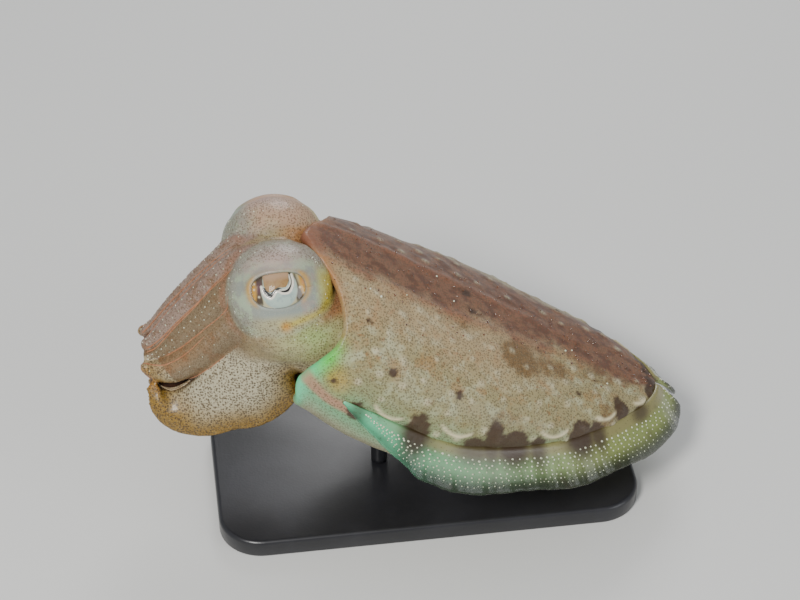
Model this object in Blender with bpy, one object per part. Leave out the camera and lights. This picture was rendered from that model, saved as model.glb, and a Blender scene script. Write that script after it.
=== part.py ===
"""A young common cuttlefish, life size, hovering head-up with its arms drooped, on a plain display stand.

The animal faces -X, its left side is -Y, and +Z is up. Left pieces are made first and mirrored across the
plane Y = 0. Everything is made in millimetres, and the last step turns it into metres and moves it so that
the origin is on the floor under the middle of the whole.
"""

import math

import bmesh
import bpy
from mathutils import Matrix, Vector

MM = 0.001
GAP = 0.3
ROOM = 0.42
DOWN = Vector((0.0, 0.0, -1.0))

# The mantle's own frame: s runs back along its axis from the front, v to the side and w towards the back.
MANTLE_FRONT = Vector((-25.0, 0.0, 45.1))
MANTLE_PITCH = math.radians(21.0)
MANTLE_LENGTH = 75.0
MANTLE_WALL = 1.7
MANTLE_FULLNESS = 0.86
TAIL_BLUNTNESS = 8
MANTLE_SIDES = 36
MANTLE_STEPS = 22
RECESS_DEPTH = 9.0
RECESS_FLOOR = 16.0
RECESS_THICKENING = 1.4
MARGIN_START = 0.3
MARGIN_TIP = 0.4
MARGIN_FADE = 3
# Distance along the axis, then half width, w of the widest line, height of the back and depth of the belly.
MANTLE_STATIONS = (
    (0.0, 16.2, 0.0, 16.0, 12.0),
    (7.5, 19.5, -1.0, 15.1, 13.6),
    (14.0, 21.8, -2.2, 13.6, 15.6),
    (22.0, 23.5, -3.6, 11.5, 17.0),
    (34.0, 24.6, -4.4, 8.8, 17.4),
    (50.0, 21.4, -3.2, 5.4, 14.6),
    (61.0, 17.4, -1.8, 4.1, 10.7),
    (68.0, 14.4, -0.8, 3.5, 8.0),
    (75.0, 11.4, 0.0, 3.0, 5.6),
)
# Angle round from the midline of the back, and how far the free edge there lies behind the lobe's tip.
MARGIN_STATIONS = (
    (0.0, 0.0),
    (12.0, 2.2),
    (26.0, 5.6),
    (48.0, 7.9),
    (64.0, 7.4),
    (80.0, 5.4),
    (96.0, 3.6),
    (122.0, 5.0),
    (180.0, 7.6),
)

# The neck inside the mantle's opening, then the head's stations: the centre's X and Z, the pitch of the
# head's own axis there, half width, height above the centre and depth below it.
NECK_DEPTHS = (6.4, 3.0, -1.2)
NECK_CLEARANCE = 0.8
NECK_SIDE_CLEARANCE = 0.6
NECK_BELLY = 5.2
HEAD_SIDES = 28
HEAD_FULLNESS = 0.9
HEAD_STATIONS = (
    (-23.8, 47.6, 4.0, 12.0, 12.0, 9.8),
    (-27.6, 48.2, -8.0, 11.0, 11.0, 10.0),
    (-31.0, 47.6, -18.0, 8.8, 8.4, 8.6),
    (-33.8, 46.4, -24.0, 6.0, 5.4, 5.8),
)
MOUTH_TIP = Vector((-37.2, 0.0, 44.8))

# The eyes: the bulge's centre, the eye's axis, then the bulge, the ball in it and the lids.
EYE_CENTRE = Vector((-24.4, -7.1, 53.4))
EYE_LIFT = math.radians(36.0)
EYE_FORWARD = math.radians(6.0)
BULGE_RADIUS = 9.1
BULGE_REACH = 8.3
EYEBALL_RADIUS = 6.9
EYEBALL_MIDDLE = BULGE_REACH - 0.7 - EYEBALL_RADIUS
EYEBALL_SIDES = 18
EYEBALL_RINGS = 10
LID_MIDDLE = 0.7
LID_HALF_WIDTH = 5.3
LID_HALF_HEIGHT = 3.4
LID_FOLD = 0.6
LID_FOLD_SINK = 0.2
LID_FOLD_SIDES = 5
LID_CORNERS = 1.25
LID_STEPS = 20
PUPIL_PATH = ((-2.7, 2.6), (-2.5, 1.1), (-1.7, 0.1), (-0.7, 0.0), (0.2, 0.6), (1.1, -0.4), (1.9, -0.4),
              (2.6, 0.5), (2.9, 1.9))
PUPIL_GROOVE = 0.5
PUPIL_FLARE = 1.4

# The cheek below each eye, where the head runs into the lowest arm: its middle and its half sizes.
CHEEK_MIDDLE = Vector((-26.3, -8.8, 46.2))
CHEEK_SIZE = Vector((5.8, 5.2, 5.4))

# The arms of the left side, by pair: points along the middle of each, with its half thickness and half width.
ARM_ROUTES = {
    1: (
        (-27.6, -2.2, 57.4, 1.7, 2.0),
        (-31.0, -2.2, 57.2, 1.6, 2.0),
        (-33.9, -2.2, 55.0, 1.55, 2.0),
        (-36.7, -2.2, 52.3, 1.5, 1.95),
        (-39.5, -2.2, 49.4, 1.45, 1.85),
        (-42.3, -2.1, 46.4, 1.35, 1.7),
        (-45.0, -2.0, 43.2, 1.15, 1.45),
        (-47.0, -1.8, 40.9, 0.85, 1.05),
        (-48.4, -1.6, 39.6, 0.5, 0.55),
    ),
    2: (
        (-28.4, -4.8, 54.2, 2.3, 2.1),
        (-31.0, -4.8, 54.4, 2.4, 2.2),
        (-33.9, -4.7, 51.8, 2.4, 2.25),
        (-36.1, -4.6, 49.1, 2.3, 2.2),
        (-38.5, -4.5, 46.5, 2.1, 2.1),
        (-41.1, -4.3, 43.9, 1.8, 1.9),
        (-43.9, -4.0, 41.1, 1.4, 1.55),
        (-46.1, -3.7, 39.4, 0.95, 1.1),
        (-48.3, -3.4, 38.5, 0.5, 0.55),
    ),
    3: (
        (-27.5, -6.6, 48.6, 2.5, 2.6),
        (-30.9, -7.2, 48.3, 2.6, 2.9),
        (-33.9, -7.2, 46.0, 2.6, 2.9),
        (-36.9, -7.1, 43.3, 2.6, 2.8),
        (-39.7, -6.9, 40.7, 2.6, 2.65),
        (-42.4, -6.6, 38.7, 2.4, 2.6),
        (-44.9, -6.1, 37.5, 2.1, 2.3),
        (-47.3, -5.4, 37.3, 1.5, 1.65),
        (-48.9, -4.8, 37.8, 0.7, 0.75),
    ),
    4: (
        (-24.4, -6.4, 44.2, 3.4, 3.0),
        (-27.0, -7.6, 43.2, 3.7, 3.1),
        (-30.0, -8.2, 41.0, 3.7, 3.0),
        (-33.6, -8.3, 38.4, 3.4, 2.9),
        (-37.4, -8.1, 35.6, 2.8, 2.6),
        (-41.0, -7.8, 32.9, 2.3, 2.2),
        (-44.2, -7.2, 31.8, 1.85, 1.8),
        (-46.6, -6.4, 32.7, 1.3, 1.2),
        (-48.0, -5.7, 34.8, 0.7, 0.7),
    ),
}
# The broad keel along the fourth arm's outer side: its free edge, in step with that arm's points.
KEEL_EDGE = (
    (-21.4, -8.6, 41.0),
    (-21.6, -10.4, 36.6),
    (-23.0, -11.4, 32.2),
    (-27.4, -12.2, 28.6),
    (-33.0, -12.3, 26.6),
    (-38.6, -11.9, 25.9),
    (-43.4, -11.0, 27.4),
    (-46.9, -9.6, 30.4),
    (-48.6, -7.4, 34.2),
)
KEEL_EDGE_HALF = 0.35
KEEL_BULGE = 1.5
KEEL_TAPER = 1.3
KEEL_POINTS = 8
KEEL_INNER_SHARE = 0.9
# The middle of the bunch of arms, which their suckers face, in step with the arms' points.
BUNCH_AXIS = (
    (-26.0, 0.0, 49.4),
    (-29.0, 0.0, 49.0),
    (-32.0, 0.0, 47.4),
    (-35.2, 0.0, 45.0),
    (-38.4, 0.0, 42.4),
    (-41.4, 0.0, 40.0),
    (-44.0, 0.0, 38.2),
    (-46.4, 0.0, 37.2),
    (-48.6, 0.0, 36.8),
)
ARM_SIDES = 8
ARM_RINGS = 13
ORAL_FLATNESS = 0.7
SUCKERS_IN_ROW = 7
SUCKER_SIDES = 6
SUCKER_FIRST = 0.36
SUCKER_LAST = 0.97
SUCKER_SHARE = 0.34
SUCKER_SPREAD = 0.38
SUCKER_CROWDING = 0.88
SUCKER_SEAT = 0.92
# A sucker's rings, as height and width in radii, and how high its cup's floor lies.
SUCKER_RINGS = ((-0.9, 0.6), (0.75, 1.0))
SUCKER_CUP = 0.4

# The fins: their start and width, then how they hang and wave. The stations crowd towards the tail, where
# the outline turns most; the lobe is the rounded front end, and the end is the stretch round the tail.
FIN_START = 11.0
FIN_WIDTH = 6.9
FIN_ROOT = 1.5
FIN_EDGE = 0.55
FIN_DROOP = math.radians(34.0)
FIN_WAVES = 4.0
FIN_WAVE_HEIGHT = 0.55
FIN_STEPS = 40
FIN_CROWDING = 1.9
FIN_GAP = 0.4
FIN_ACROSS = (0.0, 0.35, 0.7, 1.0)
FIN_THINNING = 1.3
FIN_SAG = 0.10
FIN_RISE = 0.10
FIN_RISE_START = 0.03
FIN_NARROWING = 0.15
FIN_NOTCH = 1.3
FIN_LOBE_LEAN = math.radians(25.0)
FIN_LOBE_SHARE = 0.08
FIN_END_SHARE = 0.93
FIN_END_WIDTH = 0.5
FIN_END_FALL = 2.5
FIN_END_DROOP = 0.25

# The funnel: stations of its middle's X and Z, half width and half height, and the bore at its mouth.
FUNNEL_STATIONS = (
    (-15.8, 38.4, 6.6, 2.5),
    (-19.6, 36.4, 6.2, 2.6),
    (-23.4, 34.8, 4.8, 2.5),
    (-26.6, 34.0, 3.5, 2.3),
    (-29.2, 33.9, 2.7, 2.1),
)
FUNNEL_SIDES = 16
FUNNEL_STEPS = 9
# The bore, as shares of the funnel's length and of its width, from the mouth to the bore's end.
FUNNEL_BORE = ((1.0, 0.62), (0.8, 0.56))
FUNNEL_BORE_END = 0.55

# The stand: a plate and two rods up to the belly.
BASE_LENGTH = 78.0
BASE_WIDTH = 38.0
BASE_HEIGHT = 3.5
BASE_CORNER = 8.0
BASE_EDGE = 0.8
BASE_CORNER_STEPS = 6
BASE_EDGE_STEPS = 2
BASE_MIDDLE = 1.0
STAND_LOW = 2.0
ROD_RADIUS = 1.5
ROD_SIDES = 20
ROD_PLACES = (("front", -7.0), ("rear", 21.0))
ROD_TOP = 36.0
BELLY_SIDES = 48
BELLY_STEPS = 24


def smooth_row(stations, at):
    """All columns of a table of stations, as smooth curves over its first column."""
    last = len(stations) - 1
    i = 0
    while i < last - 1 and at > stations[i + 1][0]:
        i += 1
    span = stations[i + 1][0] - stations[i][0]
    t = (at - stations[i][0]) / span

    def slope(k, column):
        low, high = max(k - 1, 0), min(k + 1, last)
        return (stations[high][column] - stations[low][column]) / (stations[high][0] - stations[low][0])

    row = []
    for column in range(1, len(stations[0])):
        rise = stations[i + 1][column] - stations[i][column]
        a = slope(i, column) * span
        b = slope(i + 1, column) * span
        curve = (a + b - 2 * rise) * t**3 + (3 * rise - 2 * a - b) * t**2 + a * t
        row.append(stations[i][column] + curve)
    return row


def numbered(points):
    """Points as a table of stations whose first column runs evenly from 0 to 1."""
    return [(k / (len(points) - 1), *point) for k, point in enumerate(points)]


def signed_power(value, power):
    return math.copysign(abs(value) ** power, value)


def new_material(name, colour, roughness, metallic=0.0):
    material = bpy.data.materials.new(name)
    material.use_nodes = True
    shader = material.node_tree.nodes["Principled BSDF"]
    shader.inputs["Base Color"].default_value = (*colour, 1.0)
    shader.inputs["Roughness"].default_value = roughness
    shader.inputs["Metallic"].default_value = metallic
    return material


def add_mesh(name, points, faces, collection, material=None):
    """A mesh object from points in millimetres, with its faces turned outwards."""
    mesh = bpy.data.meshes.new(name)
    mesh.from_pydata(points, [], faces)
    work = bmesh.new()
    work.from_mesh(mesh)
    bmesh.ops.recalc_face_normals(work, faces=work.faces)
    work.to_mesh(mesh)
    work.free()
    return link_mesh(name, mesh, collection, material)


def link_mesh(name, mesh, collection, material=None):
    made = bpy.data.objects.new(name, mesh)
    collection.objects.link(made)
    if material:
        mesh.materials.append(material)
    mesh.shade_smooth()
    return made


def loft(name, rings, collection, material=None, first_point=None, last_point=None):
    """A closed skin through rings of points, each end closed by a point or else by one flat face.

    Its quads are split alike on both halves of the rings, so that a thin curved form keeps its thickness.
    """
    points = [p for ring in rings for p in ring]
    count = len(rings[0])
    faces = []
    for r in range(len(rings) - 1):
        for k in range(count):
            low, high = r * count + k, r * count + (k + 1) % count
            if 2 * k < count:
                faces += [(low, high, high + count), (low, high + count, low + count)]
            else:
                faces += [(low, high, low + count), (high, high + count, low + count)]
    for ring_start, point in ((0, first_point), ((len(rings) - 1) * count, last_point)):
        edge = [ring_start + k for k in range(count)]
        if point is None:
            faces.append(edge)
            continue
        points.append(point)
        tip = len(points) - 1
        faces += [(edge[k], edge[(k + 1) % count], tip) for k in range(count)]
    return add_mesh(name, points, faces, collection, material)


def combine(obj, others, operation, solver="EXACT"):
    """Joins or cuts obj with closed meshes, which are removed, and keeps its largest closed surface."""
    group = bpy.data.collections.new(obj.name + " pieces")
    bpy.context.scene.collection.children.link(group)
    for other in others:
        for home in list(other.users_collection):
            home.objects.unlink(other)
        group.objects.link(other)
    boolean = obj.modifiers.new(operation.lower(), "BOOLEAN")
    boolean.operation = operation
    boolean.operand_type = "COLLECTION"
    boolean.collection = group
    boolean.solver = solver
    bpy.context.view_layer.update()
    graph = bpy.context.evaluated_depsgraph_get()
    mesh = bpy.data.meshes.new_from_object(obj.evaluated_get(graph))
    obj.modifiers.clear()
    obj.data = mesh
    for other in others:
        bpy.data.objects.remove(other)
    bpy.data.collections.remove(group)
    keep_largest(mesh)
    return obj


def keep_largest(mesh):
    """Drops every closed surface of a mesh but the one with the largest box."""
    work = bmesh.new()
    work.from_mesh(mesh)
    waiting = set(work.verts)
    shells = []
    while waiting:
        front = [waiting.pop()]
        shell = set(front)
        while front:
            for edge in front.pop().link_edges:
                for vert in edge.verts:
                    if vert in waiting:
                        waiting.remove(vert)
                        shell.add(vert)
                        front.append(vert)
        shells.append(shell)
    shells.sort(key=box_size)
    for shell in shells[:-1]:
        bmesh.ops.delete(work, geom=list(shell), context="VERTS")
    work.to_mesh(mesh)
    work.free()


def box_size(verts):
    """The volume of the box round some vertices, none of its sides taken as nought."""
    sides = [[v.co[axis] for v in verts] for axis in range(3)]
    return math.prod(max(side) - min(side) + GAP for side in sides)


def mirrored(obj, name):
    """The same piece on the animal's right."""
    mesh = obj.data.copy()
    mesh.transform(Matrix.Scale(-1, 4, Vector((0, 1, 0))))
    mesh.flip_normals()
    made = bpy.data.objects.new(name, mesh)
    obj.users_collection[0].objects.link(made)
    return made


def body_point(s, v, w):
    """A point of the mantle's own frame in the part's frame."""
    along = Vector((math.cos(MANTLE_PITCH), 0.0, -math.sin(MANTLE_PITCH)))
    up = Vector((math.sin(MANTLE_PITCH), 0.0, math.cos(MANTLE_PITCH)))
    return MANTLE_FRONT + along * s + Vector((0.0, v, 0.0)) + up * w


def mantle_section(s, inset=0.0):
    """The mantle's half width, widest line, height and depth at s, closed in a round end at the tail."""
    s = min(max(s, 0.0), MANTLE_LENGTH)
    closing = math.sqrt(max(0.0, 1.0 - (s / MANTLE_LENGTH) ** TAIL_BLUNTNESS))
    half_width, line, height, depth = smooth_row(MANTLE_STATIONS, s)
    height = (height - line) * closing - inset
    depth = (depth + line) * closing - inset
    return half_width * closing - inset, line, height, depth


def mantle_surface(s, angle, inset=0.0, belly=None):
    """A point of the mantle's skin, angle degrees round from the midline of the back towards the left."""
    half_width, line, height, depth = mantle_section(s, inset)
    turn = math.radians(angle)
    across, upward = math.sin(turn), math.cos(turn)
    v = -half_width * signed_power(across, MANTLE_FULLNESS)
    tall = height if upward > 0 else belly or depth
    return body_point(s, v, line + tall * signed_power(upward, MANTLE_FULLNESS))


def margin_offset(angle):
    """How far back the mantle's free edge lies at an angle round from the midline of the back."""
    folded = abs((angle + 180.0) % 360.0 - 180.0)
    return smooth_row(MARGIN_STATIONS, folded)[0]


def mantle_ring(depth, inset, count, belly=None):
    """A ring that follows the free edge of the mantle where depth is 0 and is square to the axis far back."""
    ring = []
    fading = (1.0 - depth / MANTLE_LENGTH) ** MARGIN_FADE
    for k in range(count):
        angle = 360.0 * k / count
        side_inset = inset(angle) if callable(inset) else inset
        ring.append(mantle_surface(depth + margin_offset(angle) * fading, angle, side_inset, belly))
    return ring


def recess_inset(depth):
    """How far inside the mantle's skin the wall of the recess lies, the wall's thickness at the free edge."""
    return MANTLE_WALL + RECESS_THICKENING * (max(depth, 0.0) / RECESS_DEPTH) ** 3


def make_mantle(name, collection, material=None, grow=0.0):
    """The mantle with its free edge in front, and the recess that the neck and the funnel enter."""
    turns = [math.pi * k / MANTLE_STEPS for k in range(MANTLE_STEPS)]
    depths = [MANTLE_LENGTH * (0.5 - 0.5 * math.cos(turn)) for turn in turns]
    depths = [MARGIN_START] + [depth for depth in depths if depth > 4 * MARGIN_START]
    rings = [mantle_ring(depth, -grow, MANTLE_SIDES) for depth in reversed(depths)]
    rings.append(mantle_ring(-MARGIN_TIP - grow, 0.5 * MANTLE_WALL, MANTLE_SIDES))
    for share in (0.0, 0.35, 0.7, 1.0):
        depth = share * RECESS_DEPTH + MARGIN_START
        rings.append(mantle_ring(depth - grow * share, recess_inset(depth) + grow, MANTLE_SIDES))
    tip = body_point(MANTLE_LENGTH + grow, 0.0, 0.0)
    floor = body_point(RECESS_FLOOR - grow, 0.0, 0.0)
    return loft(name, rings, collection, material, first_point=tip, last_point=floor)


def make_swollen_belly(name, collection):
    """The mantle without its recess, grown by the gap, to end the stand's rods."""
    depths = [MANTLE_LENGTH * (k + 0.5) / (BELLY_STEPS + 0.5) for k in range(BELLY_STEPS)]
    rings = [mantle_ring(depth, -GAP, BELLY_SIDES) for depth in depths]
    return loft(name, rings, collection)


def neck_inset(depth):
    """The neck's distance inside the mantle's skin: clear of the recess, and more so at the sides."""
    base = recess_inset(depth) + NECK_CLEARANCE
    return lambda angle: base + NECK_SIDE_CLEARANCE * math.sin(math.radians(angle)) ** 2


def head_ring(station, grow):
    """A ring of the head, square to the head's own axis there."""
    x, z, pitch, half_width, height, depth = station
    up = Vector((math.sin(math.radians(pitch)), 0.0, math.cos(math.radians(pitch))))
    ring = []
    for k in range(HEAD_SIDES):
        turn = 2 * math.pi * k / HEAD_SIDES
        across, upward = math.sin(turn), math.cos(turn)
        tall = (height if upward > 0 else depth) + grow
        v = -(half_width + grow) * signed_power(across, HEAD_FULLNESS)
        ring.append(Vector((x, v, z)) + up * tall * signed_power(upward, HEAD_FULLNESS))
    return ring


def make_head_form(name, collection, material=None, grow=0.0):
    """The head without its eyes' sockets: the neck, the skull's form and the two bulges."""
    rings = []
    for depth in NECK_DEPTHS:
        inset = neck_inset(depth)
        rings.append(mantle_ring(depth, lambda angle: inset(angle) - grow, HEAD_SIDES, NECK_BELLY + grow))
    rings += [head_ring(station, grow) for station in HEAD_STATIONS]
    tip = MOUTH_TIP + Vector((-grow, 0.0, 0.0))
    head = loft(name, rings, collection, material, last_point=tip)
    swellings = [make_bulge(side, collection, grow) for side in (1, -1)]
    swellings += [make_cheek(side, collection, grow) for side in (1, -1)]
    return combine(head, swellings, "UNION", "MANIFOLD")


def eye_frame(side):
    """Forwards, up and outwards at an eye, as the columns of a matrix with the bulge's centre as its place."""
    level = math.cos(EYE_LIFT)
    outwards = Vector((-math.sin(EYE_FORWARD) * level, -math.cos(EYE_FORWARD) * level, math.sin(EYE_LIFT)))
    forwards = Vector((-1.0, 0.0, -0.06))
    forwards = (forwards - outwards * forwards.dot(outwards)).normalized()
    upwards = forwards.cross(outwards)
    if upwards.z < 0:
        upwards = -upwards
    frame = Matrix((forwards, upwards, outwards)).transposed().to_4x4()
    frame.translation = EYE_CENTRE
    if side < 0:
        frame = Matrix.Scale(-1, 4, Vector((0, 1, 0))) @ frame
    return frame


def make_ball(name, collection, frame, radii, middle, material=None, segments=24, rings=14):
    """A sphere with its poles along the eye's axis, stretched by radii, its middle out along that axis."""
    work = bmesh.new()
    bmesh.ops.create_uvsphere(work, u_segments=segments, v_segments=rings, radius=1.0)
    for vert in work.verts:
        co = vert.co
        vert.co = frame @ Vector((co.x * radii[0], co.y * radii[0], co.z * radii[1] + middle))
    work.normal_update()
    bmesh.ops.recalc_face_normals(work, faces=work.faces)
    mesh = bpy.data.meshes.new(name)
    work.to_mesh(mesh)
    work.free()
    return link_mesh(name, mesh, collection, material)


def make_bulge(side, collection, grow=0.0):
    radii = (BULGE_RADIUS + grow, BULGE_REACH + grow)
    return make_ball("bulge", collection, eye_frame(side), radii, 0.0)


def make_cheek(side, collection, grow=0.0):
    frame = Matrix.Translation(Vector((CHEEK_MIDDLE.x, side * CHEEK_MIDDLE.y, CHEEK_MIDDLE.z)))
    size = CHEEK_SIZE + Vector((grow, grow, grow))
    frame = frame @ Matrix.Diagonal((1.0, size.y / size.x, 1.0, 1.0))
    return make_ball("cheek", collection, frame, (size.x, size.z), 0.0, None, 16, 10)


def lid_point(frame, turn, scale, height):
    """A point of the lids' almond outline, with pointed corners in front and behind."""
    x = LID_HALF_WIDTH * math.cos(turn)
    y = LID_HALF_HEIGHT * signed_power(math.sin(turn), LID_CORNERS)
    return frame @ Vector((x * scale, y * scale + LID_MIDDLE, height))


def bulge_height(x, y):
    """The bulge's height along the eye's axis at a place beside it."""
    share = (x * x + y * y) / BULGE_RADIUS**2
    return BULGE_REACH * math.sqrt(max(0.0, 1.0 - share))


def make_lid_opening(side, collection):
    """The almond hole through the bulge's skin, a little wider outside than inside."""
    frame = eye_frame(side)
    turns = [2 * math.pi * k / LID_STEPS for k in range(LID_STEPS)]
    levels = ((0.9, 0.35 * BULGE_REACH), (1.06, 1.3 * BULGE_REACH))
    rings = [[lid_point(frame, turn, scale, height) for turn in turns] for scale, height in levels]
    return loft("lid opening", rings, collection)


def make_lid_fold(side, collection):
    """The raised rim of the lids, a thin roll round the opening."""
    frame = eye_frame(side)
    upright = Vector((0.0, 0.0, 1.0))
    rings = []
    for k in range(LID_STEPS):
        turn = 2 * math.pi * k / LID_STEPS
        x = LID_HALF_WIDTH * math.cos(turn)
        y = LID_HALF_HEIGHT * signed_power(math.sin(turn), LID_CORNERS) + LID_MIDDLE
        outward = Vector((math.cos(turn) / LID_HALF_WIDTH, math.sin(turn) / LID_HALF_HEIGHT, 0.0))
        outward.normalize()
        middle = Vector((x, y, 0.0)) + outward * LID_FOLD * 0.8
        middle.z = bulge_height(middle.x, middle.y) - LID_FOLD_SINK
        ring = []
        for j in range(LID_FOLD_SIDES):
            roll = 2 * math.pi * (j + 0.5) / LID_FOLD_SIDES
            around = outward * math.cos(roll) + upright * math.sin(roll)
            ring.append(frame @ (middle + around * LID_FOLD))
        rings.append(ring)
    return tube_ring("lid fold", rings, collection)


def tube_ring(name, rings, collection):
    """A closed loop of a tube through rings of points."""
    count, turns = len(rings[0]), len(rings)
    points = [p for ring in rings for p in ring]
    faces = []
    for r in range(turns):
        for k in range(count):
            here, there = r * count, (r + 1) % turns * count
            faces.append((here + k, here + (k + 1) % count, there + (k + 1) % count, there + k))
    return add_mesh(name, points, faces, collection)


def make_eyeball(name, side, collection, radius, material=None):
    """A ball at the eye's place, the eye itself or the room for it."""
    return make_ball(name, collection, eye_frame(side), (radius, radius), EYEBALL_MIDDLE, material,
                     EYEBALL_SIDES, EYEBALL_RINGS)


def make_eye(name, side, collection, material):
    """The eyeball, with the groove of its W-shaped pupil."""
    frame = eye_frame(side)
    ball = make_eyeball(name, side, collection, EYEBALL_RADIUS, material)
    corners = ((-PUPIL_GROOVE, -1.0), (-PUPIL_GROOVE, 1.0), (1.0, PUPIL_FLARE), (1.0, -PUPIL_FLARE))
    rings = []
    for k, (x, y) in enumerate(PUPIL_PATH):
        before, after = PUPIL_PATH[max(k - 1, 0)], PUPIL_PATH[min(k + 1, len(PUPIL_PATH) - 1)]
        along = Vector((after[0] - before[0], after[1] - before[1], 0.0)).normalized()
        aside = Vector((-along.y, along.x, 0.0)) * PUPIL_GROOVE * 0.7
        height = math.sqrt(EYEBALL_RADIUS**2 - x * x - y * y)
        centre = Vector((x, y, height))
        ring = []
        for reach, sideways in corners:
            point = centre + centre.normalized() * reach + aside * sideways
            ring.append(frame @ (point + Vector((0.0, 0.0, EYEBALL_MIDDLE))))
        rings.append(ring)
    return combine(ball, [loft("pupil", rings, collection)], "DIFFERENCE")


def make_head(collection, material):
    """The head with its lids and sockets, cut clear of the mantle's free edge."""
    head = make_head_form("head", collection, material)
    cutters = [make_mantle("mantle room", collection, grow=ROOM)]
    for side in (1, -1):
        socket = make_eyeball("socket", side, collection, EYEBALL_RADIUS + ROOM)
        cutters.append(combine(socket, [make_lid_opening(side, collection)], "UNION", "MANIFOLD"))
    for cutter in cutters:
        combine(head, [cutter], "DIFFERENCE", "MANIFOLD")
    return combine(head, [make_lid_fold(side, collection) for side in (1, -1)], "UNION", "MANIFOLD")


def arm_place(pair, share):
    """The middle of an arm, its half thickness and half width, and its unit directions along, in and aside."""
    table = numbered(ARM_ROUTES[pair])
    x, y, z, thick, wide = smooth_row(table, share)
    middle = Vector((x, y, z))
    step = 0.02
    ahead = Vector(smooth_row(table, min(share + step, 1.0))[:3])
    behind = Vector(smooth_row(table, max(share - step, 0.0))[:3])
    along = (ahead - behind).normalized()
    inwards = Vector(smooth_row(numbered(BUNCH_AXIS), share)) - middle
    inwards = (inwards - along * inwards.dot(along)).normalized()
    return middle, thick, wide, along, inwards, along.cross(inwards)


def round_section(pair, share, grow):
    """A ring of an arm: round outside and flatter on the side of its suckers."""
    middle, thick, wide, _, inwards, aside = arm_place(pair, share)
    ring = []
    for k in range(ARM_SIDES):
        turn = 2 * math.pi * (k + 0.5) / ARM_SIDES
        inward = math.cos(turn)
        thickness = (thick * (ORAL_FLATNESS if inward > 0 else 1.0) + grow) / math.cos(math.pi / ARM_SIDES)
        width = (wide + grow) / math.cos(math.pi / ARM_SIDES)
        ring.append(middle + inwards * thickness * inward + aside * width * math.sin(turn))
    return ring


def keeled_section(pair, share, grow):
    """A ring of the fourth arm: thick at its core and drawn out into the thin, bulging keel."""
    middle, thick, wide, along, inwards, _ = arm_place(pair, share)
    edge = Vector(smooth_row(numbered(KEEL_EDGE), share))
    span = edge - middle
    span -= along * span.dot(along)
    reach = span.length
    out = span.normalized()
    face = along.cross(out)
    if face.dot(inwards) > 0:
        face = -face
    outer = []
    inner = []
    for k in range(1, KEEL_POINTS):
        x = -thick + (reach + thick) * (0.5 - 0.5 * math.cos(math.pi * k / KEEL_POINTS))
        if x < 0:
            half = thick * math.sqrt(max(0.0, 1 - (x / thick) ** 2))
        else:
            half = KEEL_EDGE_HALF + (thick - KEEL_EDGE_HALF) * (1 - x / reach) ** KEEL_TAPER
        camber = KEEL_BULGE * math.sin(math.pi * min(max(x / reach, 0.0), 1.0))
        centre = middle + out * x + face * camber
        outer.append(centre + face * (half + grow))
        inner.append(centre - face * (half * KEEL_INNER_SHARE + grow))
    start = middle - out * (thick + grow)
    end = middle + out * (reach + grow)
    return [start] + outer + [end] + inner[::-1]


def make_arm_form(name, pair, collection, material=None, grow=0.0):
    """An arm with its suckers, from inside the head to its fine tip."""
    section = keeled_section if pair == 4 else round_section
    rings = [section(pair, k / ARM_RINGS, grow) for k in range(ARM_RINGS + 1)]
    middle, thick, _, along, _, _ = arm_place(pair, 1.0)
    arm = loft(name, rings, collection, material, last_point=middle + along * (thick + grow))
    return combine(arm, arm_suckers(pair, collection, grow), "UNION")


def make_sucker(collection, place, facing, radius):
    """A cup on a short stalk, its root sunk in the arm."""
    aside = facing.orthogonal().normalized()
    across = facing.cross(aside)
    rings = []
    for height, share in SUCKER_RINGS:
        ring = []
        for k in range(SUCKER_SIDES):
            turn = 2 * math.pi * k / SUCKER_SIDES
            around = aside * math.cos(turn) + across * math.sin(turn)
            ring.append(place + facing * radius * height + around * radius * share)
        rings.append(ring)
    return loft("sucker", rings, collection, last_point=place + facing * radius * SUCKER_CUP)


def arm_suckers(pair, collection, grow):
    """Two rows of suckers, smaller towards the tip, in step with the arm's width."""
    made = []
    for row in (-1, 1):
        for k in range(SUCKERS_IN_ROW):
            stagger = 0.5 if row > 0 else 0.0
            step = ((k + stagger) / SUCKERS_IN_ROW) ** SUCKER_CROWDING
            share = SUCKER_FIRST + (SUCKER_LAST - SUCKER_FIRST) * step
            middle, thick, wide, _, inwards, aside = arm_place(pair, share)
            radius = wide * SUCKER_SHARE + grow
            seat = inwards * thick * ORAL_FLATNESS * SUCKER_SEAT
            place = middle + seat + aside * row * wide * SUCKER_SPREAD
            made.append(make_sucker(collection, place, inwards, radius))
    return made


def make_arms(collection, material):
    """The four arms of each side, each cut clear of the head, the mantle and the arm above it."""
    arms = []
    for pair in ARM_ROUTES:
        arm = make_arm_form(f"arm_{pair}_left", pair, collection, material)
        cutters = [make_head_form("head room", collection, grow=ROOM)]
        if pair > 1:
            cutters.append(make_arm_form("arm room", pair - 1, collection, grow=ROOM))
        if pair == 4:
            cutters.append(make_mantle("mantle room", collection, grow=ROOM))
        for cutter in cutters:
            combine(arm, [cutter], "DIFFERENCE")
        arms.append(arm)
    for arm in list(arms):
        arms.append(mirrored(arm, arm.name.replace("left", "right")))
    return arms


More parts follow.
